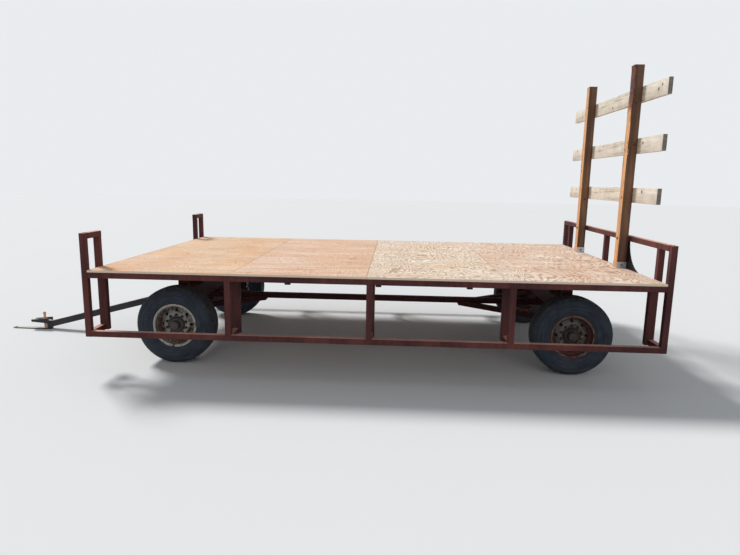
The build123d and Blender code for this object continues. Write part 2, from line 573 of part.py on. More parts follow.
# Steering yoke: a barrel on the king bolt, a plate with the two steering studs and a cheek
# each side of the tongue
cheek_inner = TONGUE_TUBE / 2 + SIDE_GAP
cheek_outer = cheek_inner + YOKE_CHEEK
stud_x = YOKE_X + STEER_ARM
plate_front = HINGE_X + YOKE_EYE_RADIUS
plate_back = YOKE_X + BRACKET_RADIUS
plate_half = STEER_STUD_OFFSET + ROD_EYE_DIAMETER / 2
with BuildPart() as steering_yoke:
    with BuildSketch(Plane.XY.offset(AXLE_BOTTOM + SIDE_GAP)):
        with Locations((YOKE_X, 0)):
            Circle(YOKE_BARREL_DIAMETER / 2)
    extrude(amount=AXLE_BEAM - 2 * SIDE_GAP)
    with BuildSketch(Plane.XY.offset(arm_bottom)):
        with BuildLine():
            Polyline(
                (YOKE_X, YOKE_BARREL_DIAMETER / 2),
                (stud_x, plate_half),
                (plate_front, cheek_outer),
                (plate_front, -cheek_outer),
                (stud_x, -plate_half),
                (YOKE_X, -YOKE_BARREL_DIAMETER / 2),
                close=True,
            )
        make_face()
    extrude(amount=STEER_PLATE)
    for cheek_side in (-cheek_outer, cheek_inner):
        with BuildSketch(Plane.XZ.offset(-cheek_side - YOKE_CHEEK)):
            with BuildLine():
                Polyline(
                    (plate_back, STEER_PLATE_TOP),
                    (HINGE_X - YOKE_EYE_RADIUS, TONGUE_HINGE_HEIGHT),
                    (HINGE_X + YOKE_EYE_RADIUS, TONGUE_HINGE_HEIGHT),
                    (plate_front, STEER_PLATE_TOP),
                    close=True,
                )
            make_face()
            with Locations((HINGE_X, TONGUE_HINGE_HEIGHT)):
                Circle(YOKE_EYE_RADIUS)
        extrude(amount=YOKE_CHEEK)
    with BuildSketch(Plane.XY.offset(nut_bottom)):
        with Locations([(stud_x, y) for y in (-STEER_STUD_OFFSET, STEER_STUD_OFFSET)]):
            Circle(STUD_DIAMETER / 2)
    extrude(amount=arm_bottom - nut_bottom)
    with BuildSketch(Plane.XY.offset(nut_bottom)):
        with Locations([(stud_x, y) for y in (-STEER_STUD_OFFSET, STEER_STUD_OFFSET)]):
            RegularPolygon(STUD_NUT_DIAMETER / 2, 6)
    extrude(amount=STUD_NUT)
    with BuildSketch(Plane.XY.offset(AXLE_BOTTOM)):
        with Locations((YOKE_X, 0)):
            Circle(KING_BOLT_DIAMETER / 2 + RUNNING_FIT)
    extrude(amount=AXLE_BEAM, mode=Mode.SUBTRACT)
    with BuildSketch(Plane.XZ.offset(-cheek_outer)):
        with Locations((HINGE_X, TONGUE_HINGE_HEIGHT)):
            Circle(TONGUE_PIN_DIAMETER / 2)
    extrude(amount=2 * cheek_outer, mode=Mode.SUBTRACT)
steering_yoke.part.label = "steering_yoke"
export_step(steering_yoke.part, "parts/steering_yoke.step")

# Pin that the tongue swings up and down on, held in the yoke's cheeks
with BuildPart() as tongue_pin:
    with BuildSketch(Plane.XZ.offset(-cheek_outer)):
        with Locations((HINGE_X, TONGUE_HINGE_HEIGHT)):
            Circle(TONGUE_PIN_DIAMETER / 2)
    extrude(amount=2 * cheek_outer)
    for head_start in (-cheek_outer - TONGUE_PIN_HEAD, cheek_outer):
        with BuildSketch(Plane.XZ.offset(head_start)):
            with Locations((HINGE_X, TONGUE_HINGE_HEIGHT)):
                RegularPolygon(TONGUE_PIN_HEAD_DIAMETER / 2, 6)
        extrude(amount=TONGUE_PIN_HEAD)
tongue_pin.part.label = "tongue_pin"
export_step(tongue_pin.part, "parts/tongue_pin.step")

# Tie rods from the yoke's studs to the knuckles' studs
for side, sign in SIDES:
    inner = Vector(YOKE_X + STEER_ARM, sign * STEER_STUD_OFFSET, ROD_MIDDLE)
    outer = Vector(FRONT_AXLE_X + STEER_ARM, sign * (KINGPIN_Y + STEER_STUD_OFFSET), ROD_MIDDLE)
    rod_plane = Plane(origin=inner, x_dir=(0, 0, 1), z_dir=outer - inner)
    with BuildPart() as tie_rod:
        with BuildSketch(rod_plane):
            Circle(ROD_DIAMETER / 2)
        extrude(amount=(outer - inner).length)
        with BuildSketch(Plane.XY.offset(ROD_MIDDLE - ROD_EYE / 2)):
            with Locations((inner.X, inner.Y), (outer.X, outer.Y)):
                Circle(ROD_EYE_DIAMETER / 2)
        extrude(amount=ROD_EYE)
        with BuildSketch(Plane.XY.offset(ROD_MIDDLE - ROD_EYE)):
            with Locations((inner.X, inner.Y), (outer.X, outer.Y)):
                Circle(STUD_DIAMETER / 2 + RUNNING_FIT)
        extrude(amount=2 * ROD_EYE, mode=Mode.SUBTRACT)
    tie_rod.part.label = f"tie_rod_{side}"
    export_step(tie_rod.part, f"parts/tie_rod_{side}.step")

# Tongue: a square tube from the yoke down to the clevis, which lies on the floor
tongue_angle = math.atan2(TONGUE_DROP, TONGUE_RUN)
tongue_plane = Plane(
    origin=(HINGE_X, 0, TONGUE_HINGE_HEIGHT),
    x_dir=(math.cos(tongue_angle), 0, -math.sin(tongue_angle)),
    z_dir=(0, -1, 0),
)
with BuildPart() as tongue:
    with BuildSketch(tongue_plane):
        with Locations((-TONGUE_TAIL, 0)):
            Rectangle(
                TONGUE_LENGTH + TONGUE_TAIL + TONGUE_TUBE,
                TONGUE_TUBE,
                align=(Align.MIN, Align.CENTER),
            )
        Circle(TONGUE_PIN_DIAMETER / 2 + RUNNING_FIT, mode=Mode.SUBTRACT)
    extrude(amount=TONGUE_TUBE / 2, both=True)
    split(bisect_by=Plane.YZ.offset(TONGUE_END_X), keep=Keep.BOTTOM)
tongue.part.label = "tongue"
export_step(tongue.part, "parts/tongue.step")

# Hitch clevis: a block on the tube's end, an upper plate and a longer strap below
pin_x = TONGUE_END_X + HITCH_PIN_SETBACK
strap_tip_x = TONGUE_END_X + STRAP_LENGTH
hitch_hole_x = strap_tip_x - HITCH_HOLE_SETBACK
with BuildPart() as hitch_clevis:
    with Locations((TONGUE_END_X + CLEVIS_BLOCK / 2, 0, CLEVIS_HEIGHT / 2)):
        Box(CLEVIS_BLOCK, TONGUE_TUBE, CLEVIS_HEIGHT)
    with BuildSketch(Plane.XY.offset(CLEVIS_HEIGHT - CLEVIS_PLATE)):
        with Locations((TONGUE_END_X + (CLEVIS_JAW - TONGUE_TUBE / 2) / 2, 0)):
            Rectangle(CLEVIS_JAW - TONGUE_TUBE / 2, TONGUE_TUBE)
        with Locations((TONGUE_END_X + CLEVIS_JAW - TONGUE_TUBE / 2, 0)):
            Circle(TONGUE_TUBE / 2)
        with Locations((pin_x, 0)):
            Circle(HITCH_PIN_DIAMETER / 2 + SEAT_GAP, mode=Mode.SUBTRACT)
    extrude(amount=CLEVIS_PLATE)
    with BuildSketch(Plane.XY):
        with BuildLine():
            Polyline(
                (TONGUE_END_X, TONGUE_TUBE / 2),
                (pin_x + HITCH_PIN_SETBACK, TONGUE_TUBE / 2),
                (hitch_hole_x, STRAP_TIP_WIDTH / 2),
                (strap_tip_x, STRAP_NOSE_WIDTH / 2),
                (strap_tip_x, -STRAP_NOSE_WIDTH / 2),
                (hitch_hole_x, -STRAP_TIP_WIDTH / 2),
                (pin_x + HITCH_PIN_SETBACK, -TONGUE_TUBE / 2),
                (TONGUE_END_X, -TONGUE_TUBE / 2),
                close=True,
            )
        make_face()
        with Locations((hitch_hole_x, 0)):
            Circle(HITCH_HOLE_DIAMETER / 2, mode=Mode.SUBTRACT)
        with Locations((pin_x, 0)):
            Circle(HITCH_PIN_DIAMETER / 2 + SEAT_GAP, mode=Mode.SUBTRACT)
    extrude(amount=CLEVIS_PLATE)
hitch_clevis.part.label = "hitch_clevis"
export_step(hitch_clevis.part, "parts/hitch_clevis.step")

# Hitch pin, dropped through the clevis and hanging by its collar
with BuildPart() as hitch_pin:
    with BuildSketch(Plane.XY.offset(HITCH_PIN_BOTTOM)):
        with Locations((pin_x, 0)):
            Circle(HITCH_PIN_DIAMETER / 2)
    extrude(amount=HITCH_PIN_TOP - HITCH_PIN_BOTTOM)
    with BuildSketch(Plane.XY.offset(CLEVIS_HEIGHT)):
        with Locations((pin_x, 0)):
            Circle(HITCH_PIN_COLLAR_DIAMETER / 2)
    extrude(amount=HITCH_PIN_COLLAR)
hitch_pin.part.label = "hitch_pin"
export_step(hitch_pin.part, "parts/hitch_pin.step")

# Wheels and tyres, each turned about its own axle: the sketch plane's x runs outboard from
# the wheel's middle and its y is the radius
flange_radius = RIM_DIAMETER / 2
seat_radius = flange_radius - FLANGE_DEPTH
well_radius = flange_radius - WELL_DEPTH
half_rim = RIM_WIDTH / 2
seat_edge = half_rim - RIM_WALL
well_edge = half_rim - WELL_DEPTH
well_foot = well_edge - FLANGE_DEPTH
tyre_radius = TYRE_DIAMETER / 2
for end, axle_x in (("front", FRONT_AXLE_X), ("rear", REAR_AXLE_X)):
    for side, sign in SIDES:
        middle = (axle_x, sign * WHEEL_Y, AXLE_Z)
        section_plane = Plane(origin=middle, x_dir=(0, sign, 0), z_dir=(sign, 0, 0))
        face_plane = Plane(origin=middle, x_dir=(1, 0, 0), z_dir=(0, sign, 0))
        wheel_axis = Axis(middle, (0, 1, 0))
        with BuildPart() as tyre:
            with BuildSketch(section_plane):
                with BuildLine():
                    crown = (0, tyre_radius)
                    edge = (TREAD_WIDTH / 2, tyre_radius - CROWN_DROP)
                    shoulder = (SHOULDER_WIDTH / 2, tyre_radius - SHOULDER_DROP)
                    bulge = (TYRE_WIDTH / 2, (flange_radius + tyre_radius) / 2)
                    bead = (half_rim + SEAT_GAP, flange_radius + SEAT_GAP)
                    seat = (seat_edge - SEAT_GAP, seat_radius + SEAT_GAP)
                    TangentArc(crown, edge, tangent=(1, 0))
                    TangentArc(edge, shoulder, tangent=(TREAD_WIDTH, -2 * SHOULDER_DROP))
                    ThreePointArc(shoulder, bulge, bead)
                    Polyline(bead, (seat[0], bead[1]), seat, (0, seat[1]), crown)
                make_face()
                mirror(about=Plane.YZ)
            revolve(axis=wheel_axis)
        tyre.part.label = f"tyre_{end}_{side}"
        export_step(tyre.part, f"parts/tyre_{end}_{side}.step")

        with BuildPart() as wheel:
            with BuildSketch(section_plane):
                with BuildLine():
                    Polyline(
                        (0, well_radius),
                        (well_foot, well_radius),
                        (well_edge, seat_radius),
                        (seat_edge, seat_radius),
                        (seat_edge, flange_radius),
                        (half_rim, flange_radius),
                        (half_rim, seat_radius - RIM_WALL),
                        (well_edge, seat_radius - RIM_WALL),
                        (well_foot, well_radius - RIM_WALL),
                        (0, well_radius - RIM_WALL),
                        close=True,
                    )
                make_face()
                mirror(about=Plane.YZ)
            revolve(axis=wheel_axis)
            with BuildSketch(section_plane):
                with BuildLine():
                    dish_edge = DISC_FLAT_DIAMETER / 2
                    rim_inner = well_radius - RIM_WALL
                    Polyline(
                        (DISC_OFFSET, 0),
                        (DISC_OFFSET, dish_edge),
                        (0, rim_inner),
                        (DISC_SEAT, rim_inner),
                        (DISC_OFFSET + DISC_WALL, dish_edge),
                        (DISC_OFFSET + DISC_WALL, 0),
                        close=True,
                    )
                make_face()
            revolve(axis=wheel_axis)
            with BuildSketch(face_plane):
                with PolarLocations(VENT_CIRCLE / 2, VENT_COUNT):
                    Circle(VENT_DIAMETER / 2)
            extrude(amount=DISC_OFFSET + DISC_SEAT, mode=Mode.SUBTRACT)
            with BuildSketch(section_plane):
                with BuildLine():
                    hub_radius = HUB_DIAMETER / 2
                    cap_radius = HUB_CAP_DIAMETER / 2
                    cap_end = HUB_LENGTH / 2 + HUB_CAP_LENGTH
                    Polyline(
                        (-HUB_LENGTH / 2, 0),
                        (-HUB_LENGTH / 2, hub_radius),
                        (HUB_LENGTH / 2 - HUB_EDGE, hub_radius),
                        (HUB_LENGTH / 2, hub_radius - HUB_EDGE),
                        (HUB_LENGTH / 2, cap_radius),
                        (cap_end - HUB_CAP_EDGE, cap_radius),
                        (cap_end, cap_radius - HUB_CAP_EDGE),
                        (cap_end, 0),
                        close=True,
                    )
                make_face()
            revolve(axis=wheel_axis)
            with BuildSketch(face_plane.offset(DISC_OFFSET - HUB_FLANGE)):
                Circle(HUB_FLANGE_DIAMETER / 2)
            extrude(amount=HUB_FLANGE)
            with BuildSketch(face_plane.offset(-HUB_LENGTH / 2)):
                Circle(SPINDLE_DIAMETER / 2 + RUNNING_FIT)
            extrude(amount=HUB_LENGTH / 2 + SPINDLE_BEYOND + SIDE_GAP, mode=Mode.SUBTRACT)
        wheel.part.label = f"wheel_{end}_{side}"
        export_step(wheel.part, f"parts/wheel_{end}_{side}.step")
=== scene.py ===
import logging
import math
import random
from collections.abc import Iterable, Sequence
from dataclasses import dataclass
from enum import Enum
from functools import cache

import bmesh
import bpy
from mathutils import Matrix, Vector, noise


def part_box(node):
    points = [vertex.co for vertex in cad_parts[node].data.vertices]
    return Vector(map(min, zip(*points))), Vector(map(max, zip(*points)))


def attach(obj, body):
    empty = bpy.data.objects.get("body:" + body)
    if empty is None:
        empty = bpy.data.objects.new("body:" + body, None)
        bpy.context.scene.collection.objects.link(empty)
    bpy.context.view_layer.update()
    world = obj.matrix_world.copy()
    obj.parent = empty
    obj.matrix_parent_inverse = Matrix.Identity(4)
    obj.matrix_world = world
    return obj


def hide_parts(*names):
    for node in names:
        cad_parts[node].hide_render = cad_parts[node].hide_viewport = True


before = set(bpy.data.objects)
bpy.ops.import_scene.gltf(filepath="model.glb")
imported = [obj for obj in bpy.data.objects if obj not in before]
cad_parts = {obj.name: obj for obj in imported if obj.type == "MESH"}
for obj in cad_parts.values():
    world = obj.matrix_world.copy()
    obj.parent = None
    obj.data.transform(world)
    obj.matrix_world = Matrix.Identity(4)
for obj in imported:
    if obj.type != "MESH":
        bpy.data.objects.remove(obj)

LOG = logging.getLogger("hay_wagon")
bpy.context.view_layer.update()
PHOTO_WIDTH = 740
MM = 0.001
SINE_TURN = 6.283
SIDES = (("left", 1), ("right", -1))
ENDS = ("front", "rear")
Colour = tuple[float, float, float]


def linear(level: int) -> float:
    """Turn one level as a screen shows it, 0 to 255, into the shader's linear one."""
    share = level / 255
    return share / 12.92 if share <= 0.04045 else ((share + 0.055) / 1.055) ** 2.4


def srgb(red: int, green: int, blue: int) -> Colour:
    """Turn a colour as a screen shows it into the shader's linear one."""
    return linear(red), linear(green), linear(blue)


# Shader networks


class Value:
    """A number in a shader network, with Python's arithmetic: each operator adds a Math node."""

    def __init__(self, network: "Network", socket: bpy.types.NodeSocket) -> None:
        """Wrap an output socket of the network."""
        self.network = network
        self.socket = socket

    def math(self, operation: str, *others: "Value | float", clamp: bool = False) -> "Value":
        """Add one Math node.

        Args:
            operation: the node's operation, such as "SINE".
            others: the values after this one.
            clamp: whether the result is kept between 0 and 1.

        Returns:
            The node's result.
        """
        settings = {"operation": operation, "use_clamp": clamp}
        node = self.network.add("ShaderNodeMath", settings, dict(enumerate((self, *others))))
        return Value(self.network, node.outputs[0])

    def _flip(self, operation: str, other: float) -> "Value":
        """Add a Math node with this value second."""
        node = self.network.add("ShaderNodeMath", {"operation": operation}, {0: other, 1: self})
        return Value(self.network, node.outputs[0])

    def __add__(self, other: "Value | float") -> "Value":
        """Sum."""
        return self.math("ADD", other)

    __radd__ = __add__

    def __sub__(self, other: "Value | float") -> "Value":
        """Difference."""
        return self.math("SUBTRACT", other)

    def __rsub__(self, other: float) -> "Value":
        """Difference, with a number first."""
        return self._flip("SUBTRACT", other)

    def __mul__(self, other: "Value | float") -> "Value":
        """Product."""
        return self.math("MULTIPLY", other)

    __rmul__ = __mul__

    def __truediv__(self, other: "Value | float") -> "Value":
        """Quotient."""
        return self.math("DIVIDE", other)

    def __rtruediv__(self, other: float) -> "Value":
        """Quotient, with a number first."""
        return self._flip("DIVIDE", other)

    def __pow__(self, other: "Value | float") -> "Value":
        """Power."""
        return self.math("POWER", other)

    def band(self, low: float, high: float) -> "Value":
        """Rise smoothly from 0 at low to 1 at high, or fall where low is the larger.

        Args:
            low: where the result is 0.
            high: where the result is 1.

        Returns:
            The smooth step.
        """
        first, last, start, stop = (low, high, 0.0, 1.0) if low < high else (high, low, 1.0, 0.0)
        sockets = {0: self, 1: first, 2: last, 3: start, 4: stop}
        node = self.network.add("ShaderNodeMapRange", {"interpolation_type": "SMOOTHSTEP"}, sockets)
        return Value(self.network, node.outputs[0])

    def ridge(self, start: float, rise: float, fall: float, end: float) -> "Value":
        """Give 1 from rise to fall, and 0 before start and after end."""
        return self.band(start, rise) * self.band(end, fall)


class Network:
    """The node tree of one material or of the world."""

    def __init__(self, tree: bpy.types.NodeTree) -> None:
        """Start an empty tree."""
        self.tree = tree
        tree.nodes.clear()

    def add(self, kind: str, settings: dict | None = None, sockets: dict | None = None) -> bpy.types.Node:
        """Add any node.

        Args:
            kind: the node's type.
            settings: its properties, set first; stops is a ramp's list of place and colour.
            sockets: numbers, colours or links of its input sockets, by name or place.

        Returns:
            The node.
        """
        node = self.tree.nodes.new(kind)
        for name, value in (settings or {}).items():
            if name == "stops":
                ramp = node.color_ramp.elements
                while len(ramp) < len(value):
                    ramp.new(0.5)
                for stop, (place, colour) in zip(ramp, value):
                    stop.position = place
                    stop.color = (*colour, 1.0)
            else:
                setattr(node, name, value)
        for name, value in (sockets or {}).items():
            target = node.inputs[name]
            if isinstance(value, Value):
                self.tree.links.new(value.socket, target)
            elif isinstance(value, tuple) and len(value) == 3 and target.type == "RGBA":
                target.default_value = (*value, 1.0)
            else:
                target.default_value = value
        return node

    def out(self, node: bpy.types.Node, socket: str | int = 0) -> Value:
        """Wrap one of a node's outputs."""
        return Value(self, node.outputs[socket])

    def place(self) -> Value:
        """Give the place on the piece, in metres in the frame's axes."""
        return self.out(self.add("ShaderNodeTexCoord"), "Object")

    def shift(self, vector: Value, move: Sequence[float] = (0, 0, 0), turn: Sequence[float] = (0, 0, 0),
              stretch: Sequence[float] = (1, 1, 1)) -> Value:
        """Centre, turn and stretch a pattern's place.

        Args:
            vector: the place.
            move: the piece's point that becomes the pattern's origin.
            turn: angles about X, Y and Z in radians.
            stretch: scale along each axis, after the move.

        Returns:
            The pattern's place.
        """
        centred = self.add("ShaderNodeVectorMath", {"operation": "SUBTRACT"}, {0: vector, 1: tuple(move)})
        sockets = {"Vector": self.out(centred), "Rotation": tuple(turn), "Scale": tuple(stretch)}
        return self.out(self.add("ShaderNodeMapping", {}, sockets))

    def noise(self, vector: Value, scale: float, detail: float = 4, rough: float = 0.55,
              twist: float = 0.0) -> Value:
        """Give smooth noise from 0 to 1.

        Args:
            vector: the pattern's place.
            scale: lumps per metre.
            detail: how many finer layers are added.
            rough: how strong each finer layer is.
            twist: how far the noise distorts itself.

        Returns:
            The noise.
        """
        sockets = {"Vector": vector, "Scale": scale, "Detail": detail, "Roughness": rough,
                   "Distortion": twist}
        return self.out(self.add("ShaderNodeTexNoise", {}, sockets), "Fac")

    def cells(self, vector: Value, scale: float) -> tuple[Value, Value]:
        """Give the distance to the nearest cell's point and that cell's own random number."""
        node = self.add("ShaderNodeTexVoronoi", {}, {"Vector": vector, "Scale": scale})
        return self.out(node, "Distance"), self.parts(self.out(node, "Color"))[0]

    def parts(self, vector: Value) -> tuple[Value, Value, Value]:
        """Split a vector into its three numbers."""
        node = self.add("ShaderNodeSeparateXYZ", {}, {0: vector})
        return self.out(node, 0), self.out(node, 1), self.out(node, 2)

    def vector(self, x: Value | float, y: Value | float, z: Value | float) -> Value:
        """Join three numbers into a vector."""
        return self.out(self.add("ShaderNodeCombineXYZ", {}, {0: x, 1: y, 2: z}))

    def distance(self, vector: Value, point: Sequence[float]) -> Value:
        """Give the distance from a fixed point."""
        node = self.add("ShaderNodeVectorMath", {"operation": "DISTANCE"}, {0: vector, 1: tuple(point)})
        return self.out(node, "Value")

    def seen(self) -> Value:
        """Find what the camera looks at, straight, in gloss or through glass.

        Returns:
            1 there, and otherwise 0.
        """
        path = self.add("ShaderNodeLightPath")
        straight = self.out(path, "Is Camera Ray").math("MAXIMUM", self.out(path, "Is Glossy Ray"))
        return straight.math("MAXIMUM", self.out(path, "Is Transmission Ray"))

    def facing(self) -> tuple[Value, Value, Value]:
        """Give the surface's own direction, as three numbers."""
        return self.parts(self.out(self.add("ShaderNodeTexCoord"), "Normal"))

    def edge(self, radius: float) -> Value:
        """Find the surface's edges.

        Args:
            radius: how wide an edge's strip is.

        Returns:
            How far a rounded copy of the surface turns away, which is large at edges.
        """
        bevel = self.add("ShaderNodeBevel", {"samples": 4}, {"Radius": radius})
        flat = self.add("ShaderNodeNewGeometry")
        sockets = {0: self.out(bevel), 1: self.out(flat, "Normal")}
        node = self.add("ShaderNodeVectorMath", {"operation": "DOT_PRODUCT"}, sockets)
        return 1.0 - self.out(node, "Value")

    def mix(self, first: Value | Colour, second: Value | Colour, share: Value | float,
            blend: str = "MIX") -> Value:
        """Mix two colours.

        Args:
            first: the colour at share 0.
            second: the colour at share 1.
            share: how much of the second shows.
            blend: the Mix node's blend type.

        Returns:
            The mixed colour.
        """
        settings = {"data_type": "RGBA", "blend_type": blend, "clamp_factor": True}
        return self.out(self.add("ShaderNodeMix", settings, {0: share, 6: first, 7: second}), 2)

    def bump(self, height: Value, depth: float, strength: float = 1.0) -> Value:
        """Give a normal from a height of 0 to 1 that stands for depth metres."""
        sockets = {"Strength": strength, "Distance": depth, "Height": height}
        return self.out(self.add("ShaderNodeBump", {}, sockets))

    def surface(self, colour: Value | Colour, rough: Value | float, metal: Value | float = 0.0,
                normal: Value | None = None, **fixed: float) -> None:
        """Close the network with a Principled shader.

        Args:
            colour: base colour.
            rough: roughness.
            metal: metallic share.
            normal: normal from a bump.
            fixed: other sockets, named with underscores, that are the same all over.
        """
        sockets = {"Base Color": colour, "Roughness": rough, "Metallic": metal}
        if normal is not None:
            sockets["Normal"] = normal
        sockets.update({name.replace("_", " "): value for name, value in fixed.items()})
        shader = self.add("ShaderNodeBsdfPrincipled", {}, sockets)
        self.add("ShaderNodeOutputMaterial", {}, {"Surface": self.out(shader)})


# Finishes


@dataclass(frozen=True)
class Finish:
    """A finish, which becomes one material for all the pieces that share it."""

    name: str

    def draw(self, net: Network) -> None:
        """Fill the material's network."""
        raise NotImplementedError

    @cache
    def material(self) -> bpy.types.Material:
        """Make the material, at the first call only.

        Returns:
            The material.
        """
        made = bpy.data.materials.new(self.name)
        made.use_nodes = True
        self.draw(Network(made.node_tree))
        return made


@dataclass(frozen=True)
class PaintedSteel(Finish):
    """Brushed-on paint over mill steel, with fading, chips, rust, and dust that, when pale, is also a
    painted highlight.
    """

    paint: Colour
    faded: Colour
    rust: Colour = srgb(104, 58, 38)
    primer: Colour = srgb(58, 44, 42)
    dust: Colour = srgb(164, 140, 118)
    rusty: float = 0.5
    dusty: float = 0.35
    worn: float = 0.6
    gloss: float = 0.5
    shine: float = 0.12
    edge_radius: float = 3 * MM
    splash_heights: tuple[float, float] = (500 * MM, 150 * MM)
    depth: float = 0.5 * MM

    def draw(self, net: Network) -> None:
        """Fill the material's network.

        Args:
            net: the network.
        """
        place = net.place()
        low = net.shift(place, stretch=(1, 1, 0.45))
        tone = net.noise(low, 2.1, 5, 0.6)
        runs = net.noise(net.shift(place, stretch=(1, 1, 0.12)), 26, 3, 0.5)
        fine = net.noise(place, 240, 3, 0.6)
        brush = net.noise(net.shift(place, stretch=(0.2, 1, 1)), 90, 3, 0.6)
        blotch = net.noise(place, 17, 7, 0.68, 0.3)
        pits = net.noise(place, 95, 5, 0.7)
        colour = net.mix(self.paint, self.faded, (tone * 0.75 + runs * 0.35).band(0.42, 0.74))
        colour = net.mix(colour, self.faded, brush.band(0.5, 0.8) * 0.25)
        edge = net.edge(self.edge_radius).band(0.02, 0.3)
        limit = 0.74 - 0.16 * self.rusty
        rust = (blotch + pits * 0.16 - 0.08).band(limit, limit + 0.05)
        rust = rust.math("MAXIMUM", edge * self.worn * (blotch + pits * 0.5).band(0.62, 0.86))
        rust_colour = net.mix(self.rust, self.primer, pits.band(0.38, 0.62))
        colour = net.mix(colour, rust_colour, rust)
        # Upward faces take the dust colour: real dust, and where the dust is pale also a painted highlight
        # on the tops.
        up = net.facing()[2].band(0.55, 0.95)
        low_down = net.parts(place)[2].band(*self.splash_heights)
        film = (tone * 0.6 + fine * 0.5).band(0.3, 0.75)
        share = (up * 0.95 + 0.05) * (film * 0.7 + low_down * 0.5 + 0.25)
        colour = net.mix(colour, self.dust, share * self.dusty)
        rough = self.gloss + rust * 0.34 + film * 0.16 + fine * 0.08
        height = brush * 0.25 + fine * 0.3 + rust * pits * 1.2
        net.surface(colour, rough, 0.0, net.bump(height, self.depth), Specular_IOR_Level=self.shine)


@dataclass(frozen=True)
class WheelSteel(Finish):
    """Old wheel paint, with rings of rust that follow the rim and the disc.

    The rings are radii, from the wheel's middle outwards.
    """

    centre: tuple[float, float, float]
    paint: Colour
    pale: Colour
    rust: Colour
    dark: Colour
    rusty: float
    clean_flange: float
    ring_rust: float = 0.1
    dust: Colour = srgb(150, 134, 112)
    middle_ring: tuple[float, float] = (90 * MM, 80 * MM)
    vent_rings: tuple[float, float, float, float] = (112 * MM, 124 * MM, 142 * MM, 152 * MM)
    seat_rings: tuple[float, float, float, float] = (148 * MM, 160 * MM, 178 * MM, 190 * MM)
    flange_ring: tuple[float, float] = (193 * MM, 199 * MM)
    ragged: float = 35 * MM
    depth: float = 0.7 * MM

    def draw(self, net: Network) -> None:
        """Fill the material's network.

        Args:
            net: the network.
        """
        place = net.shift(net.place(), move=self.centre)
        across, _, up = net.parts(place)
        radius = (across * across + up * up).math("SQRT")
        blotch = net.noise(place, 21, 7, 0.7, 0.4)
        big = net.noise(place, 7, 4, 0.6)
        pits = net.noise(place, 150, 4, 0.7)
        wide = radius + (blotch - 0.5) * self.ragged
        seat = wide.ridge(*self.seat_rings)
        flange = radius.band(*self.flange_ring)
        middle = wide.band(*self.middle_ring)
        vents = wide.ridge(*self.vent_rings)
        share = blotch + (self.rusty - 0.5) * 0.3 + seat * 0.16 + vents * self.ring_rust
        share = share + (big - 0.5) * 0.3
        rust = (share + pits * 0.1 - 0.05 - flange * self.clean_flange).band(0.56, 0.63)
        colour = net.mix(self.paint, self.pale, (big + flange * 0.4).band(0.4, 0.75))
        colour = net.mix(colour, net.mix(self.rust, self.dark, pits.band(0.4, 0.66)), rust)
        colour = net.mix(colour, self.dark, middle * 0.85)
        film = net.noise(place, 60, 5, 0.6)
        colour = net.mix(colour, self.dust, film.band(0.5, 0.8) * 0.22)
        rough = 0.5 + rust * 0.32 + film * 0.1
        height = rust * 0.6 + pits * 0.5
        net.surface(colour, rough, rust * -0.3 + 0.3, net.bump(height, self.depth))


@dataclass(frozen=True)
class Rubber(Finish):
    """Weathered tyre rubber, with rings of scuffs on the sides and dust in the tread."""

    centre: tuple[float, float, float]
    black: Colour = srgb(33, 41, 51)
    grey: Colour = srgb(62, 71, 84)
    dust: Colour = srgb(104, 98, 90)
    tread_radius: float = 346 * MM
    tread_rise: float = 16 * MM
    foot_heights: tuple[float, float] = (-240 * MM, -360 * MM)
    depth: float = 0.5 * MM

    def draw(self, net: Network) -> None:
        """Fill the material's network.

        Args:
            net: the network.
        """
        place = net.shift(net.place(), move=self.centre)
        across, along, up = net.parts(place)
        radius = (across * across + up * up).math("SQRT")
        angle = up.math("ARCTAN2", across)
        ring = net.vector(radius * 60, angle * 1.2, along * 8)
        scuffs = net.noise(ring, 1.0, 5, 0.65)
        blotch = net.noise(place, 9, 6, 0.62)
        fine = net.noise(place, 330, 3, 0.6)
        crack = net.noise(net.vector(radius * 26, angle * 30, 0.0), 1.0, 6, 0.75)
        tread = radius.band(self.tread_radius, self.tread_radius + self.tread_rise)
        foot = net.parts(place)[2].band(*self.foot_heights)
        colour = net.mix(self.black, self.grey, (scuffs * 0.7 + blotch * 0.5).band(0.46, 0.82))
        dusty = (blotch + tread * 0.2 + foot * 0.2 + scuffs * 0.15).band(0.5, 0.88)
        colour = net.mix(colour, self.dust, dusty * (0.14 + 0.22 * tread))
        rough = 0.66 + fine * 0.14 + dusty * 0.1
        height = fine * 0.5 + crack.band(0.5, 0.62) * 0.5 + scuffs * 0.3
        net.surface(colour, rough, 0.0, net.bump(height, self.depth), Specular_IOR_Level=0.35)


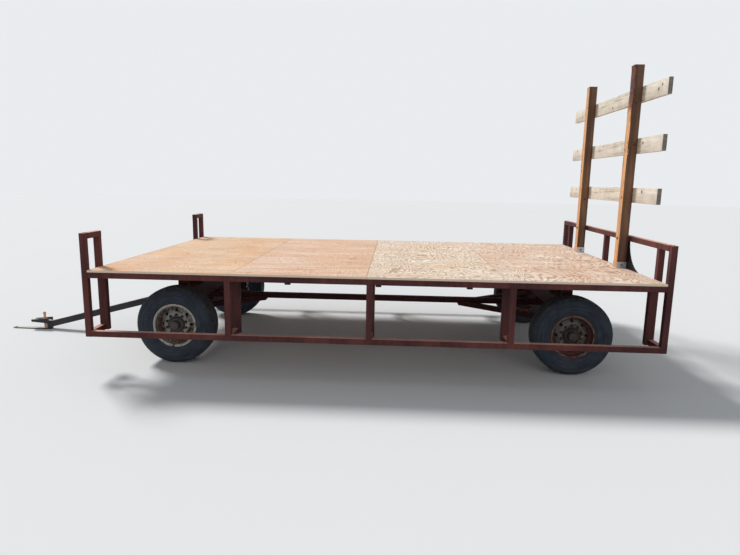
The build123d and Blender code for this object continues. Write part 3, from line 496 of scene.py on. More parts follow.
@dataclass(frozen=True)
class Plywood(Finish):
    """A plywood face of rotary-cut veneer, grain across the wagon, with its plies on the edges."""

    light: Colour
    dark: Colour
    blush: Colour
    bleach: Colour
    origin: tuple[float, float, float]
    ends: tuple[float, float]
    figure: float
    streaks: float
    bleached: float
    rings: float = 23.0
    stain: Colour = srgb(150, 132, 112)
    knot_colour: Colour = srgb(112, 70, 42)
    seam_colour: Colour = srgb(150, 98, 74)
    seam_reach: tuple[float, float] = (7 * MM, 2 * MM)
    ply_colours: tuple[Colour, Colour] = (srgb(255, 236, 212), srgb(255, 226, 196))
    glue_colour: Colour = srgb(160, 120, 90)
    ply_count: float = 7.0
    bottom: float = 932 * MM
    thickness: float = 18 * MM
    depth: float = 0.7 * MM

    def draw(self, net: Network) -> None:
        """Fill the material's network.

        Args:
            net: the network.
        """
        place = net.place()
        veneer = net.shift(place, move=self.origin, stretch=(0.95, 0.5, 0))
        wander = net.noise(veneer, 2.6, 3.0, 0.5, 0.4)
        wave = (wander * (self.rings * SINE_TURN)).math("SINE") * 0.5 + 0.5
        latewood = wave ** 2.8 * (0.55 + 0.9 * net.noise(place, 3.0, 2, 0.5))
        fibre = net.noise(net.shift(place, move=self.origin, stretch=(9, 260, 0)), 1.0, 4, 0.6)
        streak = net.noise(net.shift(place, move=self.origin, stretch=(1.1, 24, 0)), 1.0, 4, 0.6)
        cloud = net.noise(net.shift(place, move=self.origin), 1.6, 4, 0.6)
        pale = net.noise(net.shift(place, move=self.origin, stretch=(0.6, 1.5, 0)), 2.3, 6, 0.66, 0.5)
        patch, number = net.cells(net.shift(place, move=self.origin, stretch=(0.45, 1, 0)), 1.9)
        knot, pick = net.cells(net.shift(place, move=self.origin, stretch=(0.6, 1, 0)), 3.3)
        colour = net.mix(self.light, self.blush, cloud.band(0.36, 0.62))
        colour = net.mix(colour, self.bleach, pale.band(0.43, 0.68) * self.bleached)
        colour = net.mix(colour, self.dark, latewood * self.figure)
        colour = net.mix(colour, self.dark, streak.band(0.5, 0.74) * self.streaks)
        colour = net.mix(colour, self.bleach, streak.band(0.46, 0.26) * self.streaks * 0.6)
        colour = net.mix(colour, self.stain, fibre.band(0.56, 0.8) * 0.3)
        plug = patch.band(0.062, 0.056) * number.band(0.45, 0.5)
        colour = net.mix(colour, self.light, plug * 0.7)
        rim = patch.ridge(0.056, 0.060, 0.063, 0.068) * number.band(0.45, 0.5)
        spot = knot.band(0.05, 0.018) * pick.band(0.62, 0.66)
        colour = net.mix(colour, self.knot_colour, spot * 0.8 + rim * 0.35)
        dirt = net.noise(place, 5.5, 7, 0.68)
        colour = net.mix(colour, self.stain, dirt.band(0.5, 0.76) * 0.34)
        ahead, _, height = net.parts(place)
        back, front = self.ends
        outer, inner = self.seam_reach
        seam = (ahead - back).band(outer, inner).math("MAXIMUM", (front - ahead).band(outer, inner))
        colour = net.mix(colour, self.seam_colour, seam * 0.45)
        layer = ((height - self.bottom) * (self.ply_count / self.thickness)).math("FRACT")
        parity = ((height - self.bottom) * (self.ply_count / self.thickness / 2)).math("FRACT")
        plies = net.mix(*self.ply_colours, parity.band(0.45, 0.55))
        glue = layer.band(0.14, 0.04)
        plies = net.mix(plies, self.glue_colour, glue * 0.18 + fibre.band(0.5, 0.8) * 0.08)
        side = net.facing()[2].math("ABSOLUTE").band(0.7, 0.4)
        colour = net.mix(colour, plies, side)
        relief = latewood * 0.35 * (1 - side) + fibre * 0.5 + spot * 0.5 - glue * side
        net.surface(colour, 0.66 + fibre * 0.16, 0.0, net.bump(relief, self.depth))


class Grain(Enum):
    """The axis that a timber's grain follows, with the turn that lays it along Z."""

    ALONG_Y = (math.pi / 2, 0.0, 0.0)
    ALONG_Z = (0.0, 0.0, 0.0)


@dataclass(frozen=True)
class Timber(Finish):
    """Sawn softwood cut from one log: growth rings about a pith, fibres, checks and knots.

    bark gives the front face's place, the height where the bark starts and how far it reaches back.
    swirl and core are distances from a knot's middle, as shares of its radius.
    """

    light: Colour
    dark: Colour
    knot: Colour
    grain: Grain
    centre: tuple[float, float, float]
    pith: tuple[float, float, float]
    knots: tuple[tuple[float, float, float, float], ...]
    weather: Colour
    weathered: float
    shade: float = 0.0
    bark: tuple[float, float, float] | None = None
    ring: float = 6.5 * MM
    wobble: float = 35 * MM
    swirl: tuple[float, float] = (3.4, 0.2)
    core: tuple[float, float] = (1.15, 0.75)
    bark_ragged: tuple[float, float] = (40 * MM, 400 * MM)
    bark_fade: float = 80 * MM
    depth: float = 0.9 * MM
    check_colour: Colour = srgb(48, 32, 22)
    painted_shade_colour: Colour = srgb(72, 48, 37)
    end_colour: Colour = srgb(66, 56, 50)
    bark_colours: tuple[Colour, Colour] = (srgb(124, 66, 46), srgb(62, 36, 28))

    def draw(self, net: Network) -> None:
        """Fill the material's network.

        Args:
            net: the network.
        """
        place = net.place()
        local = net.shift(place, move=self.centre, turn=self.grain.value)
        log = net.shift(local, move=self.pith)
        wobble = net.noise(net.shift(local, stretch=(1, 1, 0.35)), 5.0, 3, 0.5)
        across, deep, _ = net.parts(log)
        radius = (across * across + deep * deep).math("SQRT") + (wobble - 0.5) * self.wobble
        spots: Value | None = None
        for x, y, z, size in self.knots:
            away = net.distance(place, (x, y, z)) / size
            radius = radius + away.band(*self.swirl) * size * 0.9
            core = away.band(*self.core)
            spots = core if spots is None else spots.math("MAXIMUM", core)
        wave = (radius * (SINE_TURN / self.ring)).math("SINE") * 0.5 + 0.5
        latewood = wave ** 2.4
        fibre = net.noise(net.shift(local, stretch=(170, 170, 5)), 1.0, 4, 0.62)
        broad = net.noise(net.shift(local, stretch=(13, 13, 0.9)), 1.0, 4, 0.6)
        check = net.noise(net.shift(local, stretch=(46, 46, 0.75)), 1.0, 2, 0.4)
        crack = check.ridge(0.484, 0.498, 0.502, 0.516) * broad.band(0.5, 0.62)
        colour = net.mix(self.light, self.dark, latewood * 0.5 + broad.band(0.35, 0.75) * 0.4)
        colour = net.mix(colour, self.dark, fibre.band(0.52, 0.8) * 0.45)
        grey = net.noise(place, 7.0, 6, 0.65)
        greyed = (grey * 0.7 + fibre * 0.4).band(0.42, 0.78) * self.weathered
        colour = net.mix(colour, self.weather, greyed)
        if spots is not None:
            colour = net.mix(colour, self.knot, spots * 0.88)
        colour = net.mix(colour, self.check_colour, crack * 0.8)
        faces = net.facing()
        # Painted shade: near (+Y) faces darkened, by the shade setting and the broad noise.
        painted_shade = faces[1].band(0.3, 0.9) * (0.5 + broad * 0.6) * self.shade
        colour = net.mix(colour, self.painted_shade_colour, painted_shade)
        # Faces across the grain are darker: end grain, and painted shade on the boards' ends.
        end = (faces[1] if self.grain is Grain.ALONG_Y else faces[2]).math("ABSOLUTE").band(0.6, 0.9)
        colour = net.mix(colour, self.end_colour, end * (0.45 + broad * 0.7))
        relief = fibre * 0.55 + latewood * 0.3 - crack * 1.6
        if self.bark is not None:
            front, start, reach = self.bark
            back_and_forth, up_and_down = self.bark_ragged
            ahead, _, height = net.parts(place)
            ragged = net.noise(net.shift(place, stretch=(1, 1, 0.5)), 28, 5, 0.65)
            scaly = net.noise(net.shift(place, stretch=(1, 1, 0.4)), 75, 5, 0.7)
            away = front - ahead + (ragged - 0.5) * back_and_forth
            above = height + (ragged - 0.5) * up_and_down
            above = above.band(start - self.bark_fade, start + self.bark_fade)
            skin = away.band(reach, reach * 0.5) * above
            colour = net.mix(colour, net.mix(*self.bark_colours, scaly.band(0.4, 0.6)), skin)
            relief = relief + skin * scaly * 2.0
        net.surface(colour, 0.68 + fibre * 0.16, 0.0, net.bump(relief, self.depth))


@dataclass(frozen=True)
class Galvanized(Finish):
    """Hot-dipped sheet: dull zinc with faint crystals and white bloom."""

    zinc: Colour = srgb(196, 198, 200)
    bloom: Colour = srgb(226, 226, 222)
    crystal_colour: Colour = srgb(144, 148, 154)
    depth: float = 0.2 * MM

    def draw(self, net: Network) -> None:
        """Fill the material's network.

        Args:
            net: the network.
        """
        place = net.place()
        _, crystal = net.cells(place, 95)
        film = net.noise(place, 30, 6, 0.65)
        colour = net.mix(self.zinc, self.crystal_colour, crystal * 0.55)
        bloom = film.band(0.5, 0.72)
        colour = net.mix(colour, self.bloom, bloom * 0.6)
        rough = 0.36 + crystal * 0.14 + film * 0.2
        net.surface(colour, rough, 0.6 - bloom * 0.4, net.bump(film, self.depth))


@dataclass(frozen=True)
class BareSteel(Finish):
    """Unpainted steel of pins, bolts and welds: dark scale, rust and grease."""

    steel: Colour = srgb(108, 104, 102)
    rust: Colour = srgb(96, 54, 36)
    grease: Colour = srgb(40, 30, 26)
    rusty: float = 0.5
    depth: float = 0.3 * MM

    def draw(self, net: Network) -> None:
        """Fill the material's network.

        Args:
            net: the network.
        """
        place = net.place()
        blotch = net.noise(place, 55, 6, 0.66, 0.2)
        fine = net.noise(place, 420, 3, 0.6)
        limit = 0.62 - 0.25 * self.rusty
        rust = (blotch + fine * 0.1 - 0.05).band(limit, limit + 0.1)
        colour = net.mix(self.steel, self.rust, rust)
        colour = net.mix(colour, self.grease, fine.band(0.55, 0.8) * 0.4)
        height = rust * 0.6 + fine
        net.surface(colour, 0.38 + rust * 0.4, 0.75 - rust * 0.7, net.bump(height, self.depth))


@dataclass(frozen=True)
class PlainFloor(Finish):
    """The pale studio floor."""

    pale: Colour = (0.78, 0.78, 0.775)
    bounce: Colour = (0.34, 0.34, 0.345)
    mottle: float = 0.985

    def draw(self, net: Network) -> None:
        """Fill the material's network.

        Args:
            net: the network.
        """
        grain = net.noise(net.place(), 0.6, 2, 0.5)
        colour = net.mix(self.pale, tuple(level * self.mottle for level in self.pale), grain)
        net.surface(net.mix(self.bounce, colour, net.seen()), 0.9, Specular_IOR_Level=0.1)


# The frame's pale pink dust on its top faces is dust and also a painted highlight.
RUST_RED = PaintedSteel("rust_red_paint", srgb(64, 32, 37), srgb(104, 58, 54),
                        dust=srgb(232, 174, 158), rusty=0.55, dusty=0.95)
GEAR_RED = PaintedSteel("maroon_gear_paint", srgb(58, 22, 28), srgb(80, 38, 40), rusty=0.75, dusty=0.42)
# The tongue's pale dust on its top faces is dust and also a painted highlight.
TONGUE_BLACK = PaintedSteel("dark_tongue_paint", srgb(27, 27, 36), srgb(46, 44, 52),
                            dust=srgb(214, 208, 198), rusty=0.6, dusty=0.8, gloss=0.36, shine=0.2)
BRACE_BLACK = PaintedSteel("glossy_black_paint", srgb(18, 18, 20), srgb(30, 29, 31), rusty=0.1, dusty=0.1,
                           gloss=0.3, shine=0.1)
PIN_ORANGE = PaintedSteel("faded_orange_paint", srgb(238, 158, 100), srgb(246, 204, 162), rusty=0.45,
                          dusty=0.2)
ZINC = Galvanized("dull_zinc")
PIN_STEEL = BareSteel("greasy_steel", rusty=0.75)
NUT_STEEL = BareSteel("nut_steel", steel=srgb(66, 62, 60), rust=srgb(58, 42, 36), rusty=0.6)
# The drum's dark iron is painted shade behind the wheels' vents.
DRUM_IRON = BareSteel("drum_iron", steel=srgb(52, 48, 47), rust=srgb(64, 42, 34), rusty=0.7)
BOLT_STEEL = BareSteel("bolt_steel", steel=srgb(134, 132, 130), rusty=0.35)
SCREW_STEEL = BareSteel("screw_steel", steel=srgb(96, 84, 70), rusty=0.6)
WELD_STEEL = PaintedSteel("weld_paint", srgb(84, 38, 34), srgb(112, 62, 52), rusty=0.95, dusty=0.2,
                          gloss=0.55)


# Shapes


MERGE_DISTANCE = 0.02 * MM
WASHER_HEIGHT = 2.2 * MM
HEXAGON_EDGE = 0.8 * MM
THREAD_SHARE = 0.27
WELD_INSET = 5 * MM
BEAD_PITCH = 4.5 * MM
BEAD_SWELL = (0.85, 1.2)
BEAD_HOLLOW = 0.74


@dataclass(frozen=True)
class Block:
    """A box with its sides along the axes, such as the one round a solid of the frame."""

    low: Vector
    high: Vector

    @classmethod
    def between(cls, first: Sequence[float], second: Sequence[float]) -> "Block":
        """Make the box between two opposite corners, in either order along each axis."""
        low, high = zip(*(sorted(pair) for pair in zip(first, second)))
        return cls(Vector(low), Vector(high))

    @property
    def centre(self) -> Vector:
        """The box's middle."""
        return (self.low + self.high) / 2

    @property
    def size(self) -> Vector:
        """The box's length along each axis."""
        return self.high - self.low


@dataclass(frozen=True)
class Hexagon:
    """The sizes of a bolt's head or a nut.

    across is its width over the corners, washer the washer's radius as a share of that, or 0, and
    shank how far the thread stands out of it.
    """

    across: float
    height: float
    washer: float = 0.0
    shank: float = 0.0


@cache
def solids(node: str) -> list[Block]:
    """Find the separate solids of a frame node.

    Args:
        node: the node's name.

    Returns:
        One box a solid, from the front of the wagon to the rear, then from its right to its left.
    """
    mesh = bmesh.new()
    mesh.from_mesh(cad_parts[node].data)
    bmesh.ops.remove_doubles(mesh, verts=mesh.verts, dist=MERGE_DISTANCE)
    left = set(mesh.verts)
    found = []
    while left:
        island, edge = set(), [left.pop()]
        while edge:
            vert = edge.pop()
            island.add(vert)
            for link in vert.link_edges:
                other = link.other_vert(vert)
                if other in left:
                    left.discard(other)
                    edge.append(other)
        low = Vector(min(v.co[i] for v in island) for i in range(3))
        high = Vector(max(v.co[i] for v in island) for i in range(3))
        found.append(Block(low, high))
    mesh.free()
    return sorted(found, key=lambda block: (-round(block.centre.x, 3), round(block.centre.y, 3)))


@cache
def whole(node: str) -> Block:
    """Give the box round a whole frame node."""
    return Block(*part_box(node))


class Shape:
    """A mesh in the making, shaped with bmesh operators, that becomes one piece."""

    def __init__(self) -> None:
        """Start with nothing."""
        self.mesh = bmesh.new()

    def bevel(self, edges: Iterable[bmesh.types.BMEdge], offset: float, segments: int = 2) -> None:
        """Bevel some edges by an offset, in one or more strips."""
        bmesh.ops.bevel(self.mesh, geom=list(edges), offset=offset, affect="EDGES", segments=segments,
                        profile=0.5, material=-1)

    def spin(self, verts: list, edges: list, middle: Vector, steps: int) -> None:
        """Spin a closed outline a full turn about the Y axis through a point, faces outwards."""
        bmesh.ops.spin(self.mesh, geom=verts + edges, cent=middle, axis=(0, 1, 0), angle=math.tau,
                       steps=steps, use_merge=True)
        bmesh.ops.recalc_face_normals(self.mesh, faces=self.mesh.faces)

    def turned(self, outline: Sequence[tuple[float, float]], middle: Vector, steps: int) -> None:
        """Spin a closed outline that is given as points.

        Args:
            outline: the points, each a place along Y and a radius, both from the middle.
            middle: the point that the turning axis passes through.
            steps: how many steps a full turn has.
        """
        verts = [self.mesh.verts.new(middle + Vector((0, y, r))) for y, r in outline]
        edges = [self.mesh.edges.new(pair) for pair in zip(verts, verts[1:] + verts[:1])]
        self.spin(verts, edges, middle, steps)

    def runs(self, axis: int, least: float) -> list[bmesh.types.BMEdge]:
        """Find the edges that run farther than a length along an axis, 0 for X to 2 for Z."""
        return [e for e in self.mesh.edges if abs(e.verts[0].co[axis] - e.verts[1].co[axis]) > least]

    def block(self, low: Sequence[float], high: Sequence[float], edge: float = 0.0) -> list:
        """Add a block.

        Args:
            low: its lowest corner.
            high: its highest corner.
            edge: how far its edges are bevelled.

        Returns:
            The block's vertices, before any bevel.
        """
        low, high = Vector(low), Vector(high)
        place = Matrix.Translation((low + high) / 2) @ Matrix.Diagonal((*(high - low), 1.0))
        verts = bmesh.ops.create_cube(self.mesh, size=1.0, matrix=place)["verts"]
        if edge:
            self.bevel({link for vert in verts for link in vert.link_edges}, edge)
        return verts

    def rod(self, start: Vector, end: Vector, radius: float, sides: int = 16, tip: float | None = None,
            edge: float = 0.0) -> list:
        """Add a round or many-sided rod.

        Args:
            start: the middle of its first end.
            end: the middle of its other end.
            radius: its radius at the start.
            sides: how many sides it has.
            tip: its radius at the end, where that differs.
            edge: how far its end edges are bevelled.

        Returns:
            The rod's vertices, before any bevel.
        """
        start, end = Vector(start), Vector(end)
        axis = end - start
        place = Matrix.Translation((start + end) / 2) @ axis.to_track_quat("Z", "Y").to_matrix().to_4x4()
        verts = bmesh.ops.create_cone(self.mesh, cap_ends=True, segments=sides, radius1=radius,
                                      radius2=radius if tip is None else tip, depth=axis.length,
                                      matrix=place)["verts"]
        if edge:
            level = [link for link in {e for v in verts for e in v.link_edges}
                     if abs((link.verts[0].co - link.verts[1].co).dot(axis)) < 1e-9]
            self.bevel(level, edge, segments=1)
        return verts

    def bolt(self, place: Vector, out: Sequence[float], hexagon: Hexagon) -> None:
        """Add a bolt's head or a nut.

        Args:
            place: the middle of its seat.
            out: the direction it stands out.
            hexagon: its sizes.
        """
        seat, out = Vector(place), Vector(out).normalized()
        if hexagon.washer:
            self.rod(seat, seat + out * WASHER_HEIGHT, hexagon.across * hexagon.washer, sides=20)
            seat = seat + out * WASHER_HEIGHT
        top = seat + out * hexagon.height
        self.rod(seat, top, hexagon.across / 2, sides=6, edge=HEXAGON_EDGE)
        if hexagon.shank:
            end = seat + out * (hexagon.height + hexagon.shank)
            self.rod(top, end, hexagon.across * THREAD_SHARE, sides=10, edge=HEXAGON_EDGE)

    def weld(self, start: Vector, end: Vector, radius: float, seed: random.Random) -> None:
        """Add a rippled weld bead along a straight joint.

        Args:
            start: where the bead begins.
            end: where it stops.
            radius: the bead's radius.
            seed: source of the bead's unevenness.
        """
        start, end = Vector(start), Vector(end)
        way = (end - start).normalized()
        steps = max(3, round((end - start).length / BEAD_PITCH))
        verts = self.rod(start, end, radius, sides=6)
        lengthwise = [e for e in {e for v in verts for e in v.link_edges}
                      if abs((e.verts[0].co - e.verts[1].co).normalized().dot(way)) > 0.99]
        inner = bmesh.ops.subdivide_edges(self.mesh, edges=lengthwise, cuts=steps - 1)["geom_inner"]
        swell = [seed.uniform(*BEAD_SWELL) for _ in range(steps + 1)]
        for vert in inner:
            if isinstance(vert, bmesh.types.BMVert):
                along = (vert.co - start).dot(way)
                step = round(along * steps / (end - start).length)
                middle = start + way * along
                vert.co = middle + (vert.co - middle) * swell[step] * (1.0 if step % 2 else BEAD_HOLLOW)

    def weld_round(self, block: Block, height: float, radius: float, seed: random.Random,
                   sides: str = "xyXY") -> None:
        """Run beads round an upright tube at one height.

        Args:
            block: the tube's box.
            height: the beads' height.
            radius: the beads' radius.
            seed: source of unevenness.
            sides: which sides get a bead, in their order: x, y low and X, Y high.
        """
        low, high = block.low, block.high
        runs = {
            "x": ((low.x, low.y + WELD_INSET), (low.x, high.y - WELD_INSET)),
            "X": ((high.x, low.y + WELD_INSET), (high.x, high.y - WELD_INSET)),
            "y": ((low.x + WELD_INSET, low.y), (high.x - WELD_INSET, low.y)),
            "Y": ((low.x + WELD_INSET, high.y), (high.x - WELD_INSET, high.y)),
        }
        for side in sides:
            (ax, ay), (bx, by) = runs[side]
            self.weld(Vector((ax, ay, height)), Vector((bx, by, height)), radius, seed)

    def weld_end(self, tube: Block, axis: int, level: float, radius: float, seed: random.Random) -> None:
        """Run beads round a level tube at one place along it.

        Args:
            tube: the tube's box.
            axis: the axis that the tube follows, 0 for X or 1 for Y.
            level: the beads' place along that axis.
            radius: the beads' radius.
            seed: source of unevenness.
        """
        for fixed, run in ((2, 1 - axis), (1 - axis, 2)):
            for face in (tube.low[fixed], tube.high[fixed]):
                start, end = Vector(), Vector()
                start[axis], start[fixed], start[run] = level, face, tube.low[run] + WELD_INSET
                end[axis], end[fixed], end[run] = level, face, tube.high[run] - WELD_INSET
                self.weld(start, end, radius, seed)

    def piece(self, name: str, body: str, finish: Finish, slot: str | None = None, smooth: float = 35.0,
              stands_for: Iterable[str] = ()) -> bpy.types.Object:
        """Turn the mesh into a piece of the wagon.

        Args:
            name: the piece's name.
            body: the frame body that it moves with.
            finish: its finish.
            slot: the record's material slot; not used.
            smooth: the angle in degrees above which an edge stays sharp.
            stands_for: the frame nodes that it replaces.

        Returns:
            The new object.
        """
        data = bpy.data.meshes.new(name)
        self.mesh.to_mesh(data)
        self.mesh.free()
        data.shade_smooth()
        data.set_sharp_from_angle(angle=math.radians(smooth))
        made = bpy.data.objects.new(name, data)
        bpy.context.scene.collection.objects.link(made)
        data.materials.append(finish.material())
        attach(made, body)
        if stands_for:
            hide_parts(*stands_for)
        LOG.info("%s: %d faces on %s", name, len(data.polygons), body)
        return made


def dress(node: str, finish: Finish) -> None:
    """Give a frame node its finish.

    Args:
        node: the node's name.
        finish: the finish.
    """
    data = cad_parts[node].data
    data.materials.clear()
    data.materials.append(finish.material())
    LOG.info("%s: finished in %s", node, finish.name)


# Wheels


def arc_through(first: tuple, middle: tuple, last: tuple, count: int) -> list[tuple[float, float]]:
    """Give evenly turned points on the circle through three points.

    Args:
        first: the arc's start.
        middle: a point between.
        last: the arc's end.
        count: how many points, ends included.

    Returns:
        The points from first to last.
    """
    (ax, ay), (bx, by), (cx, cy) = first, middle, last
    twice = 2 * (ax * (by - cy) + bx * (cy - ay) + cx * (ay - by))
    a, b, c = ax * ax + ay * ay, bx * bx + by * by, cx * cx + cy * cy
    x = (a * (by - cy) + b * (cy - ay) + c * (ay - by)) / twice
    y = (a * (cx - bx) + b * (ax - cx) + c * (bx - ax)) / twice
    start = math.atan2(ay - y, ax - x)
    turn = (math.atan2(cy - y, cx - x) - start + math.pi) % math.tau - math.pi
    radius = math.hypot(ax - x, ay - y)
    return [(x + radius * math.cos(start + turn * i / (count - 1)),
             y + radius * math.sin(start + turn * i / (count - 1))) for i in range(count)]


def polar(away: Vector) -> tuple[float, float]:
    """Give a place's distance from the Y axis, and how far round it lies as a share of a turn."""
    return math.hypot(away.x, away.z), math.atan2(away.z, away.x) / math.tau


@dataclass
class Wheel:
    """One wheel's dressing: its ribbed tyre, nuts, drum, valve and the finish of its steel.

    shoulder is a distance from the wheel's middle and a drop below the crown, shoulder_points are
    the same past half_tread, and bead is a distance and a radius. A wall ring starts at a point of
    the wall, counted from the bead. drum_run is the drum's hole, face and back.
    """

    end: str
    side: str
    sign: int
    steps: int = 180
    half_tread: float = 84 * MM
    tread_edge_drop: float = 4 * MM
    shoulder: tuple[float, float] = (100 * MM, 24 * MM)
    shoulder_points: tuple[tuple[float, float], ...] = ((10 * MM, 15 * MM), (3 * MM, 7 * MM))
    half_width: float = 112 * MM
    wall_points: int = 22
    wall_rings: tuple[tuple[int, float], ...] = ((2, 1.28 * MM), (12, 1.04 * MM), (17, 0.8 * MM))
    bead: tuple[float, float] = (92.3 * MM, 207.8 * MM)
    bead_width: float = 6 * MM
    bead_round: float = 2 * MM
    seat_radius: float = 190.4 * MM
    grooves: tuple[float, ...] = (17 * MM, 49 * MM)
    groove_width: float = 9 * MM
    groove_depth: float = 8 * MM
    groove_flare: float = 1.5 * MM
    zigzag: float = 2.6 * MM
    zigzags: int = 60
    zigzag_under: float = 6 * MM
    zigzag_share: float = 0.9
    lug_pitch: int = 5
    lug_depth: float = 7 * MM
    lug_edge: float = 0.6 * MM
    lug_margin: float = 1 * MM
    nut_count: int = 10
    nut_circle: float = 190 * MM
    nut: Hexagon = Hexagon(23 * MM, 15 * MM, shank=9 * MM)
    nut_cone: float = 4 * MM
    nut_flare: float = 0.56
    disc_face: float = 40 * MM
    drum_radius: float = 154 * MM
    drum_run: tuple[float, float, float] = (72.5 * MM, -6 * MM, -66 * MM)
    drum_wall: float = 8 * MM
    drum_steps: int = 64
    valve_root: tuple[float, float, float] = (20 * MM, 56 * MM, 158 * MM)
    valve_run: tuple[float, float, float] = (0.0, 34 * MM, -14 * MM)
    valve_cap: float = 0.7
    stem_radii: tuple[float, float] = (4.2 * MM, 3.4 * MM)
    cap_radii: tuple[float, float] = (4.4 * MM, 3.9 * MM)
    cap_edge: float = 0.5 * MM

    @property
    def corner(self) -> str:
        """The wheel's corner of the wagon, as names give it."""
        return f"{self.end}_{self.side}"

    @property
    def body(self) -> str:
        """The frame body that turns."""
        return f"wheel_{self.corner}"

    @property
    def centre(self) -> Vector:
        """The wheel's middle."""
        return whole(f"tyre_{self.corner}").centre

    @property
    def radius(self) -> float:
        """The tyre's outer radius."""
        return whole(f"tyre_{self.corner}").size.z / 2

    def mirrored(self, place: Sequence[float]) -> Vector:
        """Turn a place that is given for a left wheel into this wheel's."""
        return Vector((place[0], self.sign * place[1], place[2]))

    def crown(self, y: float) -> float:
        """Give the tread's radius at a distance from the wheel's middle."""
        return self.radius - self.tread_edge_drop * (y / self.half_tread) ** 2

    def section(self) -> list[tuple[float, float]]:
        """Work out half of the tyre's outline.

        Returns:
            Its points, each a distance from the wheel's middle and a radius, from the seat out to
            the middle of the tread.
        """
        top = self.radius
        bulge = (self.half_width, (self.bead[1] + top) / 2)
        shoulder = (self.shoulder[0], top - self.shoulder[1])
        wall = arc_through(self.bead, bulge, shoulder, self.wall_points)
        for start, height in self.wall_rings:
            for i in (start, start + 1):
                y, radius = wall[i]
                wall[i] = (y + height, radius)
        outline = [(self.bead[0] - self.bead_width, self.seat_radius),
                   (self.bead[0] - self.bead_round, self.bead[1]), *wall]
        outline += [(self.half_tread + out, top - drop) for out, drop in self.shoulder_points]
        outline.append((self.half_tread, top - self.tread_edge_drop))
        half, flare = self.groove_width / 2, self.groove_flare
        for y in sorted(self.grooves, reverse=True):
            outline += [
                (y + half + flare, self.crown(y + half)),
                (y + half - flare, self.crown(y + half) - self.groove_depth),
                (y - half + flare, self.crown(y - half) - self.groove_depth),
                (y - half - flare, self.crown(y - half)),
            ]
        return outline + [(0.0, top)]

    def tyre(self) -> bpy.types.Object:
        """Spin the outline, turn its grooves to zigzags and cut the shoulder's lugs.

        Returns:
            The tyre.
        """
        half = self.section()
        shape, middle = Shape(), self.centre
        shape.turned(half + [(-y, r) for y, r in reversed(half[:-1])], middle, self.steps)
        under = self.radius - self.groove_depth - self.zigzag_under
        for vert in shape.mesh.verts:
            away = vert.co - middle
            radius, turn = polar(away)
            if radius > under and abs(away.y) < self.half_tread * self.zigzag_share:
                phase = turn * self.zigzags % 1.0
                vert.co.y += self.zigzag * (abs(phase - 0.5) * 4 - 1)
        notches = []
        for face in shape.mesh.faces:
            away = face.calc_center_median() - middle
            radius, turn = polar(away)
            step = round(turn % 1.0 * self.steps - 0.5)
            outer = abs(away.y) > self.half_tread + self.lug_margin
            if outer and radius > self.radius - self.shoulder[1] + self.lug_margin:
                if step % self.lug_pitch == 0:
                    notches.append(face)
        bmesh.ops.recalc_face_normals(shape.mesh, faces=shape.mesh.faces)
        bmesh.ops.inset_region(shape.mesh, faces=notches, thickness=self.lug_edge, depth=-self.lug_depth,
                               use_even_offset=True)
        finish = Rubber(f"tyre_rubber_{self.corner}", tuple(middle))
        name = f"tyre_{self.corner}"
        return shape.piece(f"{name}_rubber", self.body, finish, "tyre_rubber", smooth=40,
                           stands_for=[name])

    def nuts(self) -> bpy.types.Object:
        """Set the lug nuts on their studs.

        Returns:
            The piece.
        """
        shape, middle = Shape(), self.centre
        out = Vector((0, self.sign, 0))
        for turn in range(self.nut_count):
            angle = math.tau * (turn + 0.5) / self.nut_count
            arm = Vector((math.cos(angle), 0, math.sin(angle))) * self.nut_circle / 2
            seat = middle + arm + out * self.disc_face
            foot = seat + out * self.nut_cone
            shape.rod(seat, foot, self.nut.across * self.nut_flare, sides=18, tip=self.nut.across / 2)
            shape.bolt(foot, out, self.nut)
        return shape.piece(f"lug_nuts_{self.corner}", self.body, NUT_STEEL)

    def drum(self) -> bpy.types.Object:
        """Spin a dark drum that closes the wheel behind its disc: a guessed brake drum, as painted shade
        for the vents.

        Returns:
            The piece.
        """
        shape, wall, top = Shape(), self.drum_wall, self.drum_radius
        hole, face, back = self.drum_run
        outline = ((face, hole), (face, top - wall), (face - wall, top), (back, top), (back, top - wall),
                   (face - wall, top - wall), (face - wall, hole))
        shape.turned([(self.sign * y, r) for y, r in outline], self.centre, self.drum_steps)
        return shape.piece(f"drum_{self.corner}", self.body, DRUM_IRON)

    def valve(self) -> bpy.types.Object:
        """Set the valve's stem and cap in the rim's well.

        Returns:
            The piece.
        """
        shape = Shape()
        root = self.centre + self.mirrored(self.valve_root)
        tip = root + self.mirrored(self.valve_run)
        joint = root.lerp(tip, self.valve_cap)
        stem, neck = self.stem_radii
        foot, crown = self.cap_radii
        shape.rod(root, joint, stem, sides=12, tip=neck)
        shape.rod(joint, tip, foot, sides=12, tip=crown, edge=self.cap_edge)
        finish = Rubber(f"valve_rubber_{self.corner}", tuple(self.centre))
        return shape.piece(f"valve_{self.corner}", self.body, finish)

    def steel(self) -> WheelSteel:
        """Choose the finish of the rim and the disc: grey in front, darker and rustier behind.

        Returns:
            The finish.
        """
        name, centre = f"wheel_paint_{self.corner}", tuple(self.centre)
        if self.end == "front":
            return WheelSteel(name, centre, paint=srgb(132, 132, 130), pale=srgb(180, 172, 156),
                              rust=srgb(86, 60, 48), dark=srgb(46, 38, 36), rusty=0.45, clean_flange=-0.04)
        return WheelSteel(name, centre, paint=srgb(88, 86, 80), pale=srgb(128, 122, 110),
                          rust=srgb(96, 50, 42), dark=srgb(44, 30, 30), rusty=0.7, clean_flange=-0.2,
                          ring_rust=-0.14)

    def build(self) -> None:
        """Make all of the wheel's dressing."""
        self.tyre()
        self.nuts()
        self.drum()
        self.valve()
        dress(self.body, self.steel())


# Deck


